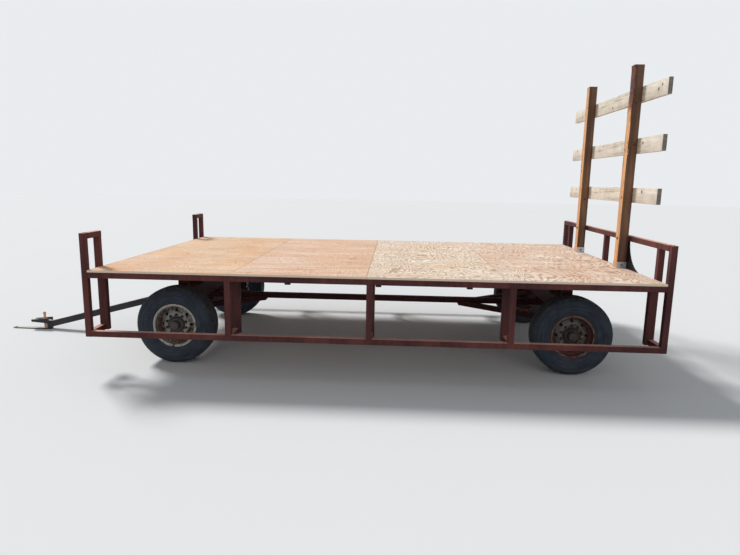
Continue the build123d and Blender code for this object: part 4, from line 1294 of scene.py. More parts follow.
@dataclass
class Deck:
    """The plywood sheets and the screws that hold them down."""

    veneer_shift: tuple[float, float] = (-3.7, 5.3)
    edge_inset: float = 24 * MM
    screw_pitch: float = 295 * MM
    screw_radius: float = 4.6 * MM
    screw_rim: float = 0.86
    screw_sunk: float = 0.6 * MM
    screw_height: float = 1.1 * MM
    stray_ahead: float = 7 * MM
    stray_across: float = 16 * MM
    cross_share: float = 0.55
    cross_radius: float = 0.5 * MM
    seed: int = 11

    def sheets(self) -> None:
        """Give each sheet its own veneer: the two in front tan and pink, the two behind bleached."""
        grey, white = srgb(212, 198, 184), srgb(242, 230, 214)
        looks = (
            {"light": srgb(231, 197, 160), "dark": srgb(180, 126, 88), "blush": srgb(224, 172, 124),
             "bleach": grey, "figure": 0.46, "streaks": 0.55, "bleached": 0.55, "rings": 37.0},
            {"light": srgb(226, 183, 150), "dark": srgb(172, 116, 88), "blush": srgb(226, 186, 154),
             "bleach": white, "figure": 0.42, "streaks": 0.7, "bleached": 0.35, "rings": 34.0},
            {"light": srgb(239, 220, 198), "dark": srgb(160, 118, 88), "blush": srgb(233, 208, 180),
             "bleach": white, "figure": 0.78, "streaks": 0.3, "bleached": 0.9, "rings": 24.0},
            {"light": srgb(236, 212, 188), "dark": srgb(164, 118, 90), "blush": srgb(227, 190, 162),
             "bleach": white, "figure": 0.76, "streaks": 0.35, "bleached": 0.85, "rings": 22.0},
        )
        ahead, across = self.veneer_shift
        for number, look in enumerate(looks, start=1):
            node = f"plywood_sheet_{number}"
            block = whole(node)
            middle = block.centre
            origin = (middle.x + ahead * number, middle.y + across * number, middle.z)
            ends = (block.low.x, block.high.x)
            dress(node, Plywood(f"veneer_{number}", origin=origin, ends=ends, **look))

    def screws(self) -> bpy.types.Object:
        """Drive the rows of screws into the cross tubes and along the end rails.

        Returns:
            The piece.
        """
        shape, seed = Shape(), random.Random(self.seed)
        first, last = whole("plywood_sheet_1"), whole("plywood_sheet_4")
        half = first.size.y / 2 - self.edge_inset
        rows = [block.centre.x for block in solids("cross_tubes")]
        rows += [first.high.x - self.edge_inset, last.low.x + self.edge_inset]
        count = round(2 * half / self.screw_pitch)
        for row in rows:
            for step in range(count + 1):
                x = row + seed.uniform(-1, 1) * self.stray_ahead
                stray = seed.uniform(-1, 1) * self.stray_across * (0 < step < count)
                foot = Vector((x, -half + 2 * half * step / count + stray, first.high.z - self.screw_sunk))
                top = foot + Vector((0, 0, self.screw_height))
                shape.rod(foot, top, self.screw_radius, sides=12, tip=self.screw_radius * self.screw_rim)
                self.cross(shape, top, seed.uniform(0, math.pi))
        return shape.piece("deck_screws", "wagon", SCREW_STEEL)

    def cross(self, shape: Shape, seat: Vector, angle: float) -> None:
        """Mark a screw's driving cross with two thin bars.

        Args:
            shape: the mesh to add them to.
            seat: the middle of the screw's head.
            angle: how far the cross is turned.
        """
        for turn in (angle, angle + math.pi / 2):
            arm = Vector((math.cos(turn), math.sin(turn), 0)) * self.screw_radius * self.cross_share
            shape.rod(seat - arm, seat + arm, self.cross_radius, sides=4)

    def build(self) -> None:
        """Make the deck's dressing."""
        self.sheets()
        self.screws()


# Steel frame


@dataclass
class Frame:
    """The tube frame's paint and weld beads."""

    bead: float = 3.2 * MM
    rear_post_inset: float = 159.2 * MM
    seed: int = 5
    painted: tuple[str, ...] = ("end_rail_front", "end_rail_rear", "cross_tubes", "rear_rail")
    paired: tuple[str, ...] = ("side_rail", "foot_rail", "outer_posts", "drop_posts", "foot_tubes",
                               "front_hoop", "sill")

    def paint(self) -> None:
        """Paint every tube and sill."""
        for node in self.painted + tuple(f"{name}_{side}" for name in self.paired for side, _ in SIDES):
            dress(node, RUST_RED)

    def welds(self) -> bpy.types.Object:
        """Weld the posts, foot tubes, hoops and sills.

        Returns:
            The piece.
        """
        shape, seed = Shape(), random.Random(self.seed)
        for side, sign in SIDES:
            rail, foot = whole(f"side_rail_{side}"), whole(f"foot_rail_{side}")
            for post in solids(f"outer_posts_{side}"):
                if post.high.z < rail.high.z:
                    faces = "xXYy" if sign > 0 else "xXyY"
                    shape.weld_round(post, rail.low.z, self.bead, seed, faces)
                    shape.weld_round(post, foot.high.z, self.bead, seed, faces)
                else:
                    face = post.low.x if post.centre.x > 0 else post.high.x
                    for beam in (rail, foot):
                        shape.weld_end(beam, 0, face, self.bead, seed)
            for post in solids(f"drop_posts_{side}"):
                shape.weld_round(post, rail.low.z, self.bead, seed, "xXyY")
            for tube in solids(f"foot_tubes_{side}"):
                for y in (tube.low.y, tube.high.y):
                    shape.weld_end(tube, 1, y, self.bead, seed)
            self.hoop_welds(shape, side, sign, seed)
            sill = whole(f"sill_{side}")
            for tube in solids("cross_tubes"):
                for x in (tube.low.x, tube.high.x):
                    shape.weld(Vector((x, sill.low.y, sill.high.z)), Vector((x, sill.high.y, sill.high.z)),
                               self.bead, seed)
        return shape.piece("frame_welds", "wagon", WELD_STEEL, "frame_paint", smooth=50)

    def hoop_welds(self, shape: Shape, side: str, sign: int, seed: random.Random) -> None:
        """Weld a front hoop's bar to the corner post and its inner leg to the end rail.

        Args:
            shape: the mesh to add the beads to.
            side: the hoop's side.
            sign: 1 on the left, -1 on the right.
            seed: source of unevenness.
        """
        hoop = whole(f"front_hoop_{side}")
        depth, width = whole(f"foot_rail_{side}").size.z, hoop.size.x
        inner, outer = (hoop.low.y, hoop.high.y)[::sign]
        bar = Block.between((hoop.low.x, hoop.low.y, hoop.high.z - depth), hoop.high)
        shape.weld_end(bar, 1, outer, self.bead, seed)
        leg_end = (hoop.high.x, inner + sign * width, hoop.high.z)
        leg = Block.between((hoop.low.x, inner, hoop.low.z), leg_end)
        shape.weld_round(leg, hoop.low.z, self.bead, seed)

    def rear_welds(self) -> bpy.types.Object:
        """Weld the rear rail's posts to the end rail and its bar to the corner posts.

        Returns:
            The piece.
        """
        shape, seed = Shape(), random.Random(self.seed + 1)
        rail, tube = whole("rear_rail"), whole("side_rail_left").size.z
        under = rail.high.z - tube
        places = (rail.low.y + self.rear_post_inset, -tube / 2, rail.high.y - self.rear_post_inset - tube)
        for y in places:
            post = Block.between((rail.low.x, y, rail.low.z), (rail.high.x, y + tube, rail.high.z))
            shape.weld_round(post, rail.low.z, self.bead, seed, "yXY")
            shape.weld_round(post, under, self.bead, seed)
        bar = Block.between((rail.low.x, rail.low.y, under), rail.high)
        for y in (rail.low.y, rail.high.y):
            shape.weld_end(bar, 1, y, self.bead, seed)
        return shape.piece("rear_rail_welds", "wagon", WELD_STEEL, "frame_paint", smooth=50)

    def build(self) -> None:
        """Make the frame's dressing."""
        self.paint()
        self.welds()
        self.rear_welds()


# Timber rack


Knots = tuple[tuple[float, float, float, float], ...]


@dataclass
class Rack:
    """The timber posts and boards at the rear, with their bolts, bases and brace.

    A post's knot is given by its place as shares of the post's box along X, Y and Z, and its
    radius. The left post's wane has a wave's scale, row and depth for each layer of noise. Its chip
    and its strip have a place and a spread as shares of the height, and the strip a depth.
    """

    long_edge: float = 500 * MM
    arris: float = 4 * MM
    post_sunk: float = 0.6 * MM
    post_waves: tuple[tuple[float, float], ...] = ((9.0, 0.8 * MM), (60.0, 0.35 * MM))
    post_cuts: int = 110
    end_cuts: int = 3
    end_edge: float = 50 * MM
    end_slack: float = 1 * MM
    wane: float = 15 * MM
    wane_reach: float = 40 * MM
    wane_far: float = 0.45
    wane_mean: float = 0.65
    wane_waves: tuple[tuple[float, float, float], ...] = ((21.0, 3.3, 0.5), (70.0, 9.1, 0.25))
    bark_start: float = 0.8
    bark_end: float = 0.995
    bark_fades: tuple[float, float] = (0.05, 0.01)
    bark_reach: float = 24 * MM
    chip: tuple[float, float] = (0.585, 0.012)
    strip: tuple[float, float, float] = (0.70, 0.06, 0.35)
    left_knots: Knots = ((1.0, 0.55, 0.36, 13 * MM), (0.3, 1.0, 0.62, 15 * MM), (0.62, 1.0, 0.82, 10 * MM),
                         (1.0, 0.9, 0.585, 16 * MM), (0.55, 0.0, 0.44, 14 * MM), (0.0, 0.4, 0.71, 15 * MM))
    right_knots: Knots = ((1.0, 0.4, 0.5, 12 * MM), (0.5, 1.0, 0.33, 14 * MM), (0.7, 1.0, 0.76, 11 * MM),
                          (0.4, 0.0, 0.6, 15 * MM))
    board_edge: float = 3 * MM
    board_cuts: int = 90
    board_bow: float = 1.6 * MM
    board_level: float = 0.2
    board_reverse: float = -0.6
    board_sunk: float = 0.3 * MM
    board_sway: float = 1.5 * MM
    board_wave: float = 3.0
    knot_count: int = 5
    knot_start: float = 0.08
    knot_pitch: float = 0.2
    knot_stray: float = 0.05
    knot_rise: tuple[float, float] = (0.2, 0.85)
    knot_radii: tuple[float, float] = (9 * MM, 17 * MM)
    top_knot: tuple[float, float, float] = (110 * MM, 45 * MM, 15 * MM)
    bolt_aside: float = 24 * MM
    bolt_slant: float = 1.4
    head_sunk: float = 2 * MM
    head_rise: float = 1.6 * MM
    head_radii: tuple[float, float] = (6.5 * MM, 5.2 * MM)
    board_gap: float = 1 * MM
    board_washer: tuple[float, float] = (9 * MM, 2.4 * MM)
    board_nut: Hexagon = Hexagon(15 * MM, 7 * MM, shank=5 * MM)
    post_bolt_drop: float = 25 * MM
    post_head: Hexagon = Hexagon(19 * MM, 8 * MM, 0.75)
    post_nut: Hexagon = Hexagon(19 * MM, 10 * MM, 0.75, 6 * MM)
    base_bolt_height: float = 34 * MM
    base_head: Hexagon = Hexagon(19 * MM, 8 * MM, 0.72)
    base_nut: Hexagon = Hexagon(19 * MM, 8 * MM, 0.72, 5 * MM)
    nail_aside: float = 28 * MM
    nail_height: float = 48 * MM
    nail_rise: float = 1.3 * MM
    nail_radius: float = 3.4 * MM
    seed: int = 23

    def post(self, side: str) -> bpy.types.Object:
        """Make one post: sawn faces with a little waviness and, on the left one, a waney edge.

        Args:
            side: the post's side.

        Returns:
            The post.
        """
        block, shape = whole(f"rack_post_{side}"), Shape()
        shape.block(block.low, block.high)
        shape.bevel(shape.runs(2, self.long_edge), self.arris)
        level = [e for e in shape.mesh.edges
                 if abs(e.verts[0].co.z - e.verts[1].co.z) < self.end_slack]
        wide = [e for e in level if e.calc_length() > self.end_edge]
        bmesh.ops.subdivide_edges(shape.mesh, edges=wide, cuts=self.end_cuts, use_grid_fill=False)
        bmesh.ops.subdivide_edges(shape.mesh, edges=shape.runs(2, self.long_edge), cuts=self.post_cuts)
        middle = block.centre
        for vert in shape.mesh.verts:
            share = (vert.co.z - block.low.z) / block.size.z
            wave = sum(noise.noise(vert.co * scale) * height for scale, height in self.post_waves)
            away = Vector((vert.co.x - middle.x, vert.co.y - middle.y, 0))
            vert.co += away.normalized() * (wave - self.post_sunk)
            if side == "left":
                near = 1 - min(1.0, (block.high.x - vert.co.x) / self.wane_reach)
                inward = max(0.0, (vert.co.y - middle.y) / (block.size.y / 2))
                edge = self.wane_far + (1 - self.wane_far) * inward
                vert.co.x -= self.wane * self.waney(share) * near * edge
        name = f"rack_post_{side}"
        return shape.piece(f"{name}_timber", "wagon", self.post_finish(side), "post_wood", smooth=30,
                           stands_for=[name])

    def waney(self, share: float) -> float:
        """Tell how much of the left post's arris is missing at a height.

        Args:
            share: the height, as a share of the post's.

        Returns:
            The missing part, as a share of the wane's full depth.
        """
        ragged = self.wane_mean
        for scale, row, depth in self.wane_waves:
            ragged += noise.noise(Vector((share * scale, row, 0.0))) * depth
        start_fade, end_fade = self.bark_fades
        top = max(0.0, min(1.0, (share - self.bark_start) / start_fade))
        top *= max(0.0, min(1.0, (self.bark_end - share) / end_fade))
        place, spread = self.chip
        chip = math.exp(-((share - place) / spread) ** 2)
        place, spread, depth = self.strip
        strip = depth * math.exp(-((share - place) / spread) ** 2)
        return ragged * max(top, chip, strip)

    def post_finish(self, side: str) -> Timber:
        """Choose one post's timber.

        Args:
            side: the post's side.

        Returns:
            The finish, with bark near the top of the left post's waney edge.
        """
        block = whole(f"rack_post_{side}")
        low, size = block.low, block.size
        left = side == "left"
        places = tuple((low.x + size.x * x, low.y + size.y * y, low.z + size.z * z, radius)
                       for x, y, z, radius in (self.left_knots if left else self.right_knots))
        bark = (block.high.x, low.z + size.z * self.bark_start, self.bark_reach) if left else None
        # shade=1.08 paints shade on the post's near (+Y) faces.
        return Timber(f"post_wood_{side}", light=srgb(248, 188, 132), dark=srgb(188, 124, 80),
                      knot=srgb(66, 36, 26), grain=Grain.ALONG_Z, centre=tuple(block.centre),
                      pith=(-0.055, 0.03, 0.0) if left else (0.04, -0.06, 0.0), knots=places,
                      weather=srgb(128, 108, 92), weathered=0.45, shade=1.08, bark=bark)

    def boards(self) -> None:
        """Make the three boards, each with eased edges, a slight bow and its own timber."""
        blocks = sorted(solids("rack_boards"), key=lambda block: block.centre.z)
        for number, block in enumerate(blocks, start=1):
            shape = Shape()
            shape.block(block.low, block.high, self.board_edge)
            lengthwise = shape.runs(1, self.long_edge)
            bmesh.ops.subdivide_edges(shape.mesh, edges=lengthwise, cuts=self.board_cuts)
            middle = block.centre
            for vert in shape.mesh.verts:
                along = (vert.co.y - middle.y) / (block.size.y / 2)
                bend = 1.0 if number % 2 else self.board_reverse
                bow = (self.board_level - along * along * bend) * self.board_bow
                vert.co.x -= abs(bow) + self.board_sunk
                sway = noise.noise(Vector((number * 7.0, vert.co.y * self.board_wave, 0)))
                vert.co.z += sway * self.board_sway
            shape.piece(f"rack_board_{number}", "wagon", self.board_finish(number, block), "board_wood",
                        smooth=30, stands_for=["rack_boards"])

    def board_finish(self, number: int, block: Block) -> Timber:
        """Choose one board's timber.

        Args:
            number: the board's number, from the lowest.
            block: the board's box.

        Returns:
            The finish, with knots on both faces and, on the top board, one near its left end.
        """
        seed = random.Random(self.seed + number)
        low, size = block.low, block.size
        spots = []
        for step in range(self.knot_count):
            stray = seed.uniform(-self.knot_stray, self.knot_stray)
            y = low.y + size.y * (self.knot_start + self.knot_pitch * step + stray)
            z = low.z + size.z * seed.uniform(*self.knot_rise)
            x = block.high.x if step % 2 == 0 else block.low.x
            spots.append((x, y, z, seed.uniform(*self.knot_radii)))
        if number == 3:
            inset, drop, radius = self.top_knot
            spots.append((block.high.x, block.high.y - inset, block.high.z - drop, radius))
        return Timber(f"board_wood_{number}", light=srgb(252, 244, 228), dark=srgb(206, 184, 156),
                      knot=srgb(118, 84, 58), grain=Grain.ALONG_Y, centre=tuple(block.centre),
                      pith=(0.06 - 0.02 * number, -0.035, 0.0), knots=tuple(spots),
                      weather=srgb(178, 170, 160), weathered=0.6)

    def fasteners(self) -> bpy.types.Object:
        """Bolt the boards to the posts and the posts to the rear rail, and pin the bases.

        Returns:
            The piece.
        """
        shape, rail = Shape(), whole("rear_rail")
        for side, _ in SIDES:
            post, base = whole(f"rack_post_{side}"), whole(f"post_base_{side}")
            for board in solids("rack_boards"):
                for aside in (-self.bolt_aside, self.bolt_aside):
                    y, z = post.centre.y + aside, board.centre.z + aside * self.bolt_slant
                    self.board_bolt(shape, Vector((post.high.x, y, z)), board.low.x - self.board_gap)
            level = rail.high.z - self.post_bolt_drop
            shape.bolt(Vector((post.high.x, post.centre.y, level)), (1, 0, 0), self.post_head)
            shape.bolt(Vector((rail.low.x, post.centre.y, level)), (-1, 0, 0), self.post_nut)
            for face, out, hexagon in ((base.high.y, 1, self.base_head), (base.low.y, -1, self.base_nut)):
                seat = Vector((base.centre.x, face, base.low.z + self.base_bolt_height))
                shape.bolt(seat, (0, out, 0), hexagon)
                for aside in (-self.nail_aside, self.nail_aside):
                    nail = Vector((base.centre.x + aside, face, base.low.z + self.nail_height))
                    shape.rod(nail, nail + Vector((0, out * self.nail_rise, 0)), self.nail_radius, sides=10)
        return shape.piece("rack_fasteners", "wagon", BOLT_STEEL)

    def board_bolt(self, shape: Shape, front: Vector, rear: float) -> None:
        """Add one round-headed bolt with its washer and nut.

        Args:
            shape: the mesh to add it to.
            front: the bolt's place on the post's front face.
            rear: where the washer's seat lies along X, behind the board.
        """
        head, crown = self.head_radii
        ahead = Vector((1, 0, 0))
        shape.rod(front - ahead * self.head_sunk, front + ahead * self.head_rise, head, sides=14,
                  tip=crown)
        radius, thickness = self.board_washer
        back = Vector((rear, front.y, front.z))
        seat = back - ahead * thickness
        shape.rod(back, seat, radius, sides=16)
        shape.bolt(seat, -ahead, self.board_nut)

    def build(self) -> None:
        """Make the rack's dressing."""
        for side, _ in SIDES:
            self.post(side)
            dress(f"post_base_{side}", ZINC)
        self.boards()
        self.fasteners()
        dress("post_brace", BRACE_BLACK)


# Running gear and tongue


@dataclass
class Gear:
    """The running gear's paint, welds, bolts, nuts, split pins and grease nipples.

    A grease nipple's step has its end's height, its radius, its tip's radius and its sides. A nut,
    a washer and a split pin's leg, shank and eye have a radius, then a height or a length.
    """

    bead: float = 4 * MM
    stand: float = 80 * MM
    stand_aside: float = 260 * MM
    stake_half: float = 47 * MM
    stake_depth: float = 45 * MM
    stake_weld: float = 150 * MM
    reach_bolt: Hexagon = Hexagon(28 * MM, 11 * MM, 0.75, 6 * MM)
    reach_bolt_aside: float = 30 * MM
    stake_bolt: Hexagon = Hexagon(24 * MM, 9 * MM, 0.7)
    stake_bolt_aside: float = 22 * MM
    stake_bolt_height: float = 75 * MM
    nipple_ahead: float = 30 * MM
    nipple_steps: tuple[tuple[float, float, float, int], ...] = (
        (4 * MM, 5 * MM, 5 * MM, 6), (9 * MM, 3.4 * MM, 2.4 * MM, 10), (12 * MM, 3.3 * MM, 1.8 * MM, 10))
    eye: float = 15 * MM
    lock_shares: tuple[float, float] = (0.13, 0.87)
    lock_nut: tuple[float, float] = (19 * MM, 15 * MM)
    lock_nut_edge: float = 1 * MM
    lock_washer: tuple[float, float] = (17 * MM, 3 * MM)
    cotter_reach: float = 7 * MM
    cotter_inset: float = 5 * MM
    cotter_foot: float = 7 * MM
    cotter_spread: float = 3 * MM
    cotter_leg: tuple[float, float] = (1.6 * MM, 8 * MM)
    cotter_shank: tuple[float, float] = (2.4 * MM, 6 * MM)
    cotter_eye: tuple[float, float] = (1.8 * MM, 10 * MM)
    seed: int = 31
    painted: tuple[str, ...] = ("bolster_front", "bolster_rear", "reach_pole", "hounds_front",
                                "hounds_rear", "front_axle", "rear_axle")
    steel: tuple[str, ...] = ("kingpins", "king_bolt", "knuckle_left", "knuckle_right",
                              "tie_rod_left", "tie_rod_right", "tongue_pin")

    def paint(self) -> None:
        """Paint the gear and leave its pins and arms bare."""
        for node in self.painted:
            dress(node, GEAR_RED)
        for node in self.steel:
            dress(node, PIN_STEEL)
        dress("steering_yoke", TONGUE_BLACK)

    def welds(self) -> bpy.types.Object:
        """Weld the stands between the axles and the hounds, and the bolsters' stakes.

        Returns:
            The piece.
        """
        shape, seed = Shape(), random.Random(self.seed)
        for end in ENDS:
            axle, bolster = whole(f"{end}_axle"), whole(f"bolster_{end}")
            under = whole(f"hounds_{end}").low.z
            x, half = bolster.centre.x, self.stand / 2
            for y in (-self.stand_aside, self.stand_aside):
                block = Block.between((x - half, y - half, under), (x + half, y + half, axle.high.z))
                shape.weld_round(block, under, self.bead, seed)
                shape.weld_round(block, axle.high.z, self.bead, seed)
            for face, inward, sides in ((bolster.low.y, 1, "xXY"), (bolster.high.y, -1, "xXy")):
                back = face + inward * self.stake_depth
                stake = Block.between((x - self.stake_half, face, bolster.low.z),
                                      (x + self.stake_half, back, bolster.high.z))
                shape.weld_round(stake, axle.high.z + self.stake_weld, self.bead, seed, sides)
        return shape.piece("gear_welds", "wagon", WELD_STEEL, "gear_paint", smooth=50)

    def bolts(self) -> bpy.types.Object:
        """Bolt the reach to the axles and the stakes to the bolsters.

        Returns:
            The piece.
        """
        shape, reach = Shape(), whole("reach_pole")
        for end in ENDS:
            bolster = whole(f"bolster_{end}")
            x = bolster.centre.x
            for aside in (-self.reach_bolt_aside, self.reach_bolt_aside):
                shape.bolt(Vector((x + aside, 0, reach.high.z)), (0, 0, 1), self.reach_bolt)
            for y, out in ((bolster.low.y, -1), (bolster.high.y, 1)):
                for aside in (-self.stake_bolt_aside, self.stake_bolt_aside):
                    seat = Vector((x + aside, y, bolster.low.z + self.stake_bolt_height))
                    shape.bolt(seat, (0, out, 0), self.stake_bolt)
        return shape.piece("gear_bolts", "wagon", BOLT_STEEL)

    def nipples(self) -> None:
        """Set a grease nipple on each knuckle, ahead of its kingpin."""
        up = Vector((0, 0, 1))
        for side, sign in SIDES:
            shape = Shape()
            pin = next(block for block in solids("kingpins") if block.centre.y * sign > 0)
            top = whole(f"knuckle_{side}").high.z
            foot = Vector((pin.centre.x + self.nipple_ahead, pin.centre.y, top))
            start = 0.0
            for end, radius, tip, sides in self.nipple_steps:
                shape.rod(foot + up * start, foot + up * end, radius, sides=sides, tip=tip)
                start = end
            shape.piece(f"knuckle_nipple_{side}", f"knuckle_{side}", BOLT_STEEL)

    def rod_nuts(self) -> None:
        """Lock each tie rod's two eyes with a nut and a washer on the rod's thread."""
        radius, height = self.lock_nut
        ring, thickness = self.lock_washer
        for side, sign in SIDES:
            shape, rod = Shape(), whole(f"tie_rod_{side}")
            near, far = sorted((rod.low.y, rod.high.y), key=abs)
            inner = Vector((rod.high.x - self.eye, near + sign * self.eye, rod.centre.z))
            outer = Vector((rod.low.x + self.eye, far - sign * self.eye, rod.centre.z))
            way = (outer - inner).normalized()
            for share in self.lock_shares:
                seat = inner.lerp(outer, share)
                top = seat + way * height
                shape.rod(seat, top, radius, sides=6, edge=self.lock_nut_edge)
                shape.rod(top, seat + way * (height + thickness), ring, sides=20)
            shape.piece(f"tie_rod_nuts_{side}", f"tie_rod_{side}", BOLT_STEEL)

    def cotters(self) -> None:
        """Pin the tongue's hinge pin at both ends and the king bolt at its foot."""
        shape, hinge = Shape(), whole("tongue_pin")
        up = Vector((0, 0, hinge.size.z / 2 + self.cotter_reach))
        for y in (hinge.low.y + self.cotter_inset, hinge.high.y - self.cotter_inset):
            place = Vector((hinge.centre.x, y, hinge.centre.z))
            self.cotter(shape, place - up, place + up)
        shape.piece("tongue_pin_cotters", "steering_yoke", BOLT_STEEL)
        shape, bolt = Shape(), whole("king_bolt")
        foot = Vector((bolt.centre.x, bolt.centre.y, bolt.low.z + self.cotter_foot))
        reach = Vector((0, bolt.size.y / 2, 0))
        self.cotter(shape, foot - reach, foot + reach)
        shape.piece("king_bolt_cotter", "wagon", BOLT_STEEL)

    def cotter(self, shape: Shape, start: Vector, end: Vector) -> None:
        """Add one split pin.

        Args:
            shape: the mesh to add it to.
            start: where its legs are spread.
            end: where its eye is.
        """
        way = (end - start).normalized()
        apart = way.orthogonal().normalized() * self.cotter_spread
        radius, length = self.cotter_leg
        for side in (-1, 1):
            shape.rod(start + apart * side * 2, start + way * length, radius, sides=8)
        radius, skip = self.cotter_shank
        shape.rod(start + way * skip, end, radius, sides=10)
        radius, length = self.cotter_eye
        for side in (-1, 1):
            bend = end + way * length / 2 + apart * side
            shape.rod(end, bend, radius, sides=8)
            shape.rod(bend, end + way * length, radius, sides=8)

    def build(self) -> None:
        """Make the gear's dressing."""
        self.paint()
        self.welds()
        self.bolts()
        self.nipples()
        self.rod_nuts()
        self.cotters()


@dataclass
class Tongue:
    """The paint of the tongue, its clevis and the pin, with welds, cheeks and the pin's ring."""

    bead: float = 4 * MM
    seed: int = 43
    weld_run: tuple[float, float] = (24 * MM, 96 * MM)
    weld_top: float = 97 * MM
    ring_radius: float = 15 * MM
    ring_wire: float = 3.2 * MM
    ring_drop: float = 10 * MM
    ring_steps: int = 32
    cheek_run: tuple[float, float] = (1 * MM, 206 * MM)
    cheek_wall: float = 8 * MM
    cheek_drop: float = 34 * MM
    cheek_rise: float = 30 * MM
    cheek_middle: float = 8 * MM
    cheek_taper: float = 0.42
    cheek_edge: float = 1.5 * MM

    def welds(self) -> bpy.types.Object:
        """Weld the clevis block to the tongue's end.

        Returns:
            The piece.
        """
        shape, seed = Shape(), random.Random(self.seed)
        clevis = whole("hitch_clevis")
        x, left, right = clevis.low.x, clevis.high.y, clevis.low.y
        low, high = self.weld_run
        for y in (right, left):
            shape.weld(Vector((x, y, low)), Vector((x, y, high)), self.bead, seed)
        shape.weld(Vector((x, right, self.weld_top)), Vector((x, left, self.weld_top)), self.bead, seed)
        return shape.piece("tongue_welds", "tongue", WELD_STEEL, "tongue_paint", smooth=50)

    def cheeks(self) -> bpy.types.Object:
        """Stiffen the clevis' upper plate with a tapered cheek along each edge.

        Returns:
            The piece.
        """
        shape, clevis = Shape(), whole("hitch_clevis")
        start, end = (clevis.low.x + run for run in self.cheek_run)
        top = clevis.high.z
        for side in (-1, 1):
            edge, out = side * clevis.high.y, side * (clevis.high.y + self.cheek_wall)
            cheek = Block.between((start, edge, top - self.cheek_drop), (end, out, top + self.cheek_rise))
            for vert in shape.block(cheek.low, cheek.high):
                if vert.co.x > (start + end) / 2:
                    middle = top - self.cheek_middle
                    vert.co.z = middle + (vert.co.z - middle) * self.cheek_taper
        shape.bevel(shape.mesh.edges, self.cheek_edge)
        return shape.piece("clevis_cheeks", "tongue", TONGUE_BLACK, "tongue_paint")

    def ring(self) -> bpy.types.Object:
        """Hang the pin's spring ring at its top.

        Returns:
            The piece.
        """
        shape, pin = Shape(), whole("hitch_pin")
        middle = Vector((pin.centre.x, 0, pin.high.z - self.ring_drop))
        hoop = middle + Vector((self.ring_radius, 0, 0))
        place = Matrix.Translation(hoop) @ Matrix.Rotation(math.pi / 2, 4, "X")
        circle = bmesh.ops.create_circle(shape.mesh, segments=10, radius=self.ring_wire,
                                         matrix=place)["verts"]
        edges = list({e for v in circle for e in v.link_edges})
        bmesh.ops.rotate(shape.mesh, verts=circle, cent=hoop, matrix=Matrix.Rotation(math.pi / 2, 3, "X"))
        shape.spin(circle, edges, middle, self.ring_steps)
        return shape.piece("hitch_pin_ring", "tongue", PIN_STEEL, "worn_steel")

    def build(self) -> None:
        """Make the tongue's dressing."""
        for node in ("tongue", "hitch_clevis"):
            dress(node, TONGUE_BLACK)
        dress("hitch_pin", PIN_ORANGE)
        self.welds()
        self.cheeks()
        self.ring()


# Studio


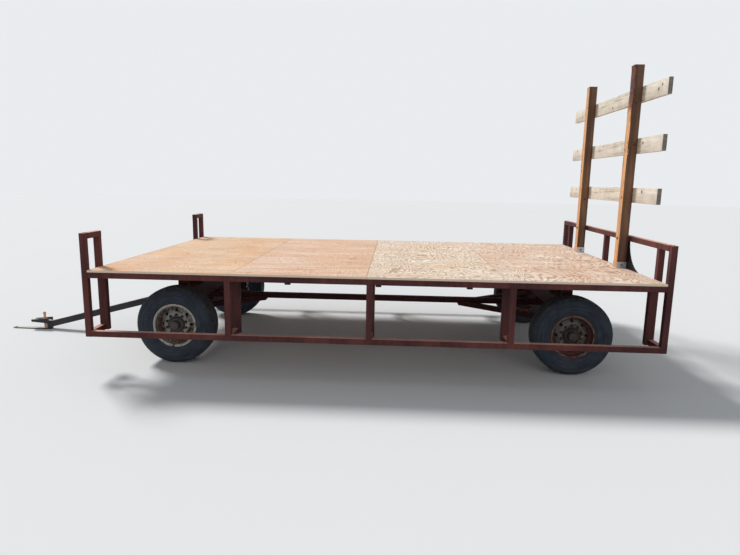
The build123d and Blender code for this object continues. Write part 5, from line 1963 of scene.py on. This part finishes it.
@dataclass
class Studio:
    """The floor, the lights, the sky and the camera at the photograph's angle."""

    camera_place: tuple[float, float, float] = (-1.048, 6.063, 1.746)
    heading: float = 182.53
    tilt_down: float = 9.86
    roll: float = 0.98
    focal_pixels: float = 556.2
    sensor: float = 36.0
    clip: tuple[float, float] = (0.05, 500.0)
    floor_size: float = 90.0
    key_strength: float = 2.8
    key_angle: float = 14.0
    key_from: tuple[float, float, float] = (0.62, -0.55, 0.86)
    fill_strength: float = 0.55
    fill_angle: float = 60.0
    fill_from: tuple[float, float, float] = (-0.25, 1.0, 0.3)
    sky: Colour = (0.88, 0.94, 1.0)
    sky_strength: float = 0.36
    backdrop: Colour = (0.82, 0.84, 0.86)

    def floor(self) -> None:
        """Lay the pale floor."""
        mesh = bmesh.new()
        bmesh.ops.create_grid(mesh, x_segments=2, y_segments=2, size=self.floor_size / 2)
        data = bpy.data.meshes.new("floor")
        mesh.to_mesh(data)
        mesh.free()
        data.materials.append(PlainFloor("floor_pale").material())
        plane = bpy.data.objects.new("floor", data)
        bpy.context.scene.collection.objects.link(plane)

    def lights(self) -> None:
        """Set a broad soft key from the front and the far side, and a weak fill from the near side."""
        self.sun("key", self.key_strength, self.key_angle, self.key_from)
        self.sun("fill", self.fill_strength, self.fill_angle, self.fill_from)

    def sun(self, name: str, strength: float, angle: float, place: Sequence[float]) -> None:
        """Set one lamp.

        Args:
            name: the lamp's name.
            strength: its strength.
            angle: how wide it looks, in degrees, which softens its shadows.
            place: the direction it shines from.
        """
        lamp = bpy.data.lights.new(name, "SUN")
        lamp.energy = strength
        lamp.angle = math.radians(angle)
        made = bpy.data.objects.new(name, lamp)
        made.rotation_euler = Vector(place).to_track_quat("Z", "Y").to_euler()
        bpy.context.scene.collection.objects.link(made)

    def world(self) -> None:
        """Fill from all round, and show the backdrop to the camera and in gloss."""
        world = bpy.data.worlds.new("studio")
        world.use_nodes = True
        bpy.context.scene.world = world
        net = Network(world.node_tree)
        fill = net.add("ShaderNodeBackground", {}, {"Color": self.sky, "Strength": self.sky_strength})
        show = net.add("ShaderNodeBackground", {}, {"Color": self.backdrop, "Strength": 1.0})
        both = net.add("ShaderNodeMixShader", {}, {0: net.seen(), 1: net.out(fill), 2: net.out(show)})
        net.add("ShaderNodeOutputWorld", {}, {"Surface": net.out(both)})

    def camera(self) -> None:
        """Stand the camera where the photograph was taken from."""
        data = bpy.data.cameras.new("camera")
        data.sensor_fit = "HORIZONTAL"
        data.sensor_width = self.sensor
        data.lens = self.focal_pixels / PHOTO_WIDTH * self.sensor
        data.clip_start, data.clip_end = self.clip
        turn = (Matrix.Rotation(math.radians(self.heading), 3, "Z")
                @ Matrix.Rotation(math.radians(90 - self.tilt_down), 3, "X")
                @ Matrix.Rotation(math.radians(self.roll), 3, "Z"))
        made = bpy.data.objects.new("camera", data)
        made.location = self.camera_place
        made.rotation_euler = turn.to_euler()
        bpy.context.scene.collection.objects.link(made)
        bpy.context.scene.camera = made

    def build(self) -> None:
        """Make the studio."""
        self.floor()
        self.lights()
        self.world()
        self.camera()
        bpy.context.scene.view_settings.view_transform = "Standard"


def main() -> None:
    """Build the wagon's looks in order."""
    logging.basicConfig(level=logging.INFO, format="%(message)s")
    Studio().build()
    Deck().build()
    Frame().build()
    Rack().build()
    Gear().build()
    Tongue().build()
    for end in ENDS:
        for side, sign in SIDES:
            Wheel(end, side, sign).build()


if __name__ == "__main__":
    main()
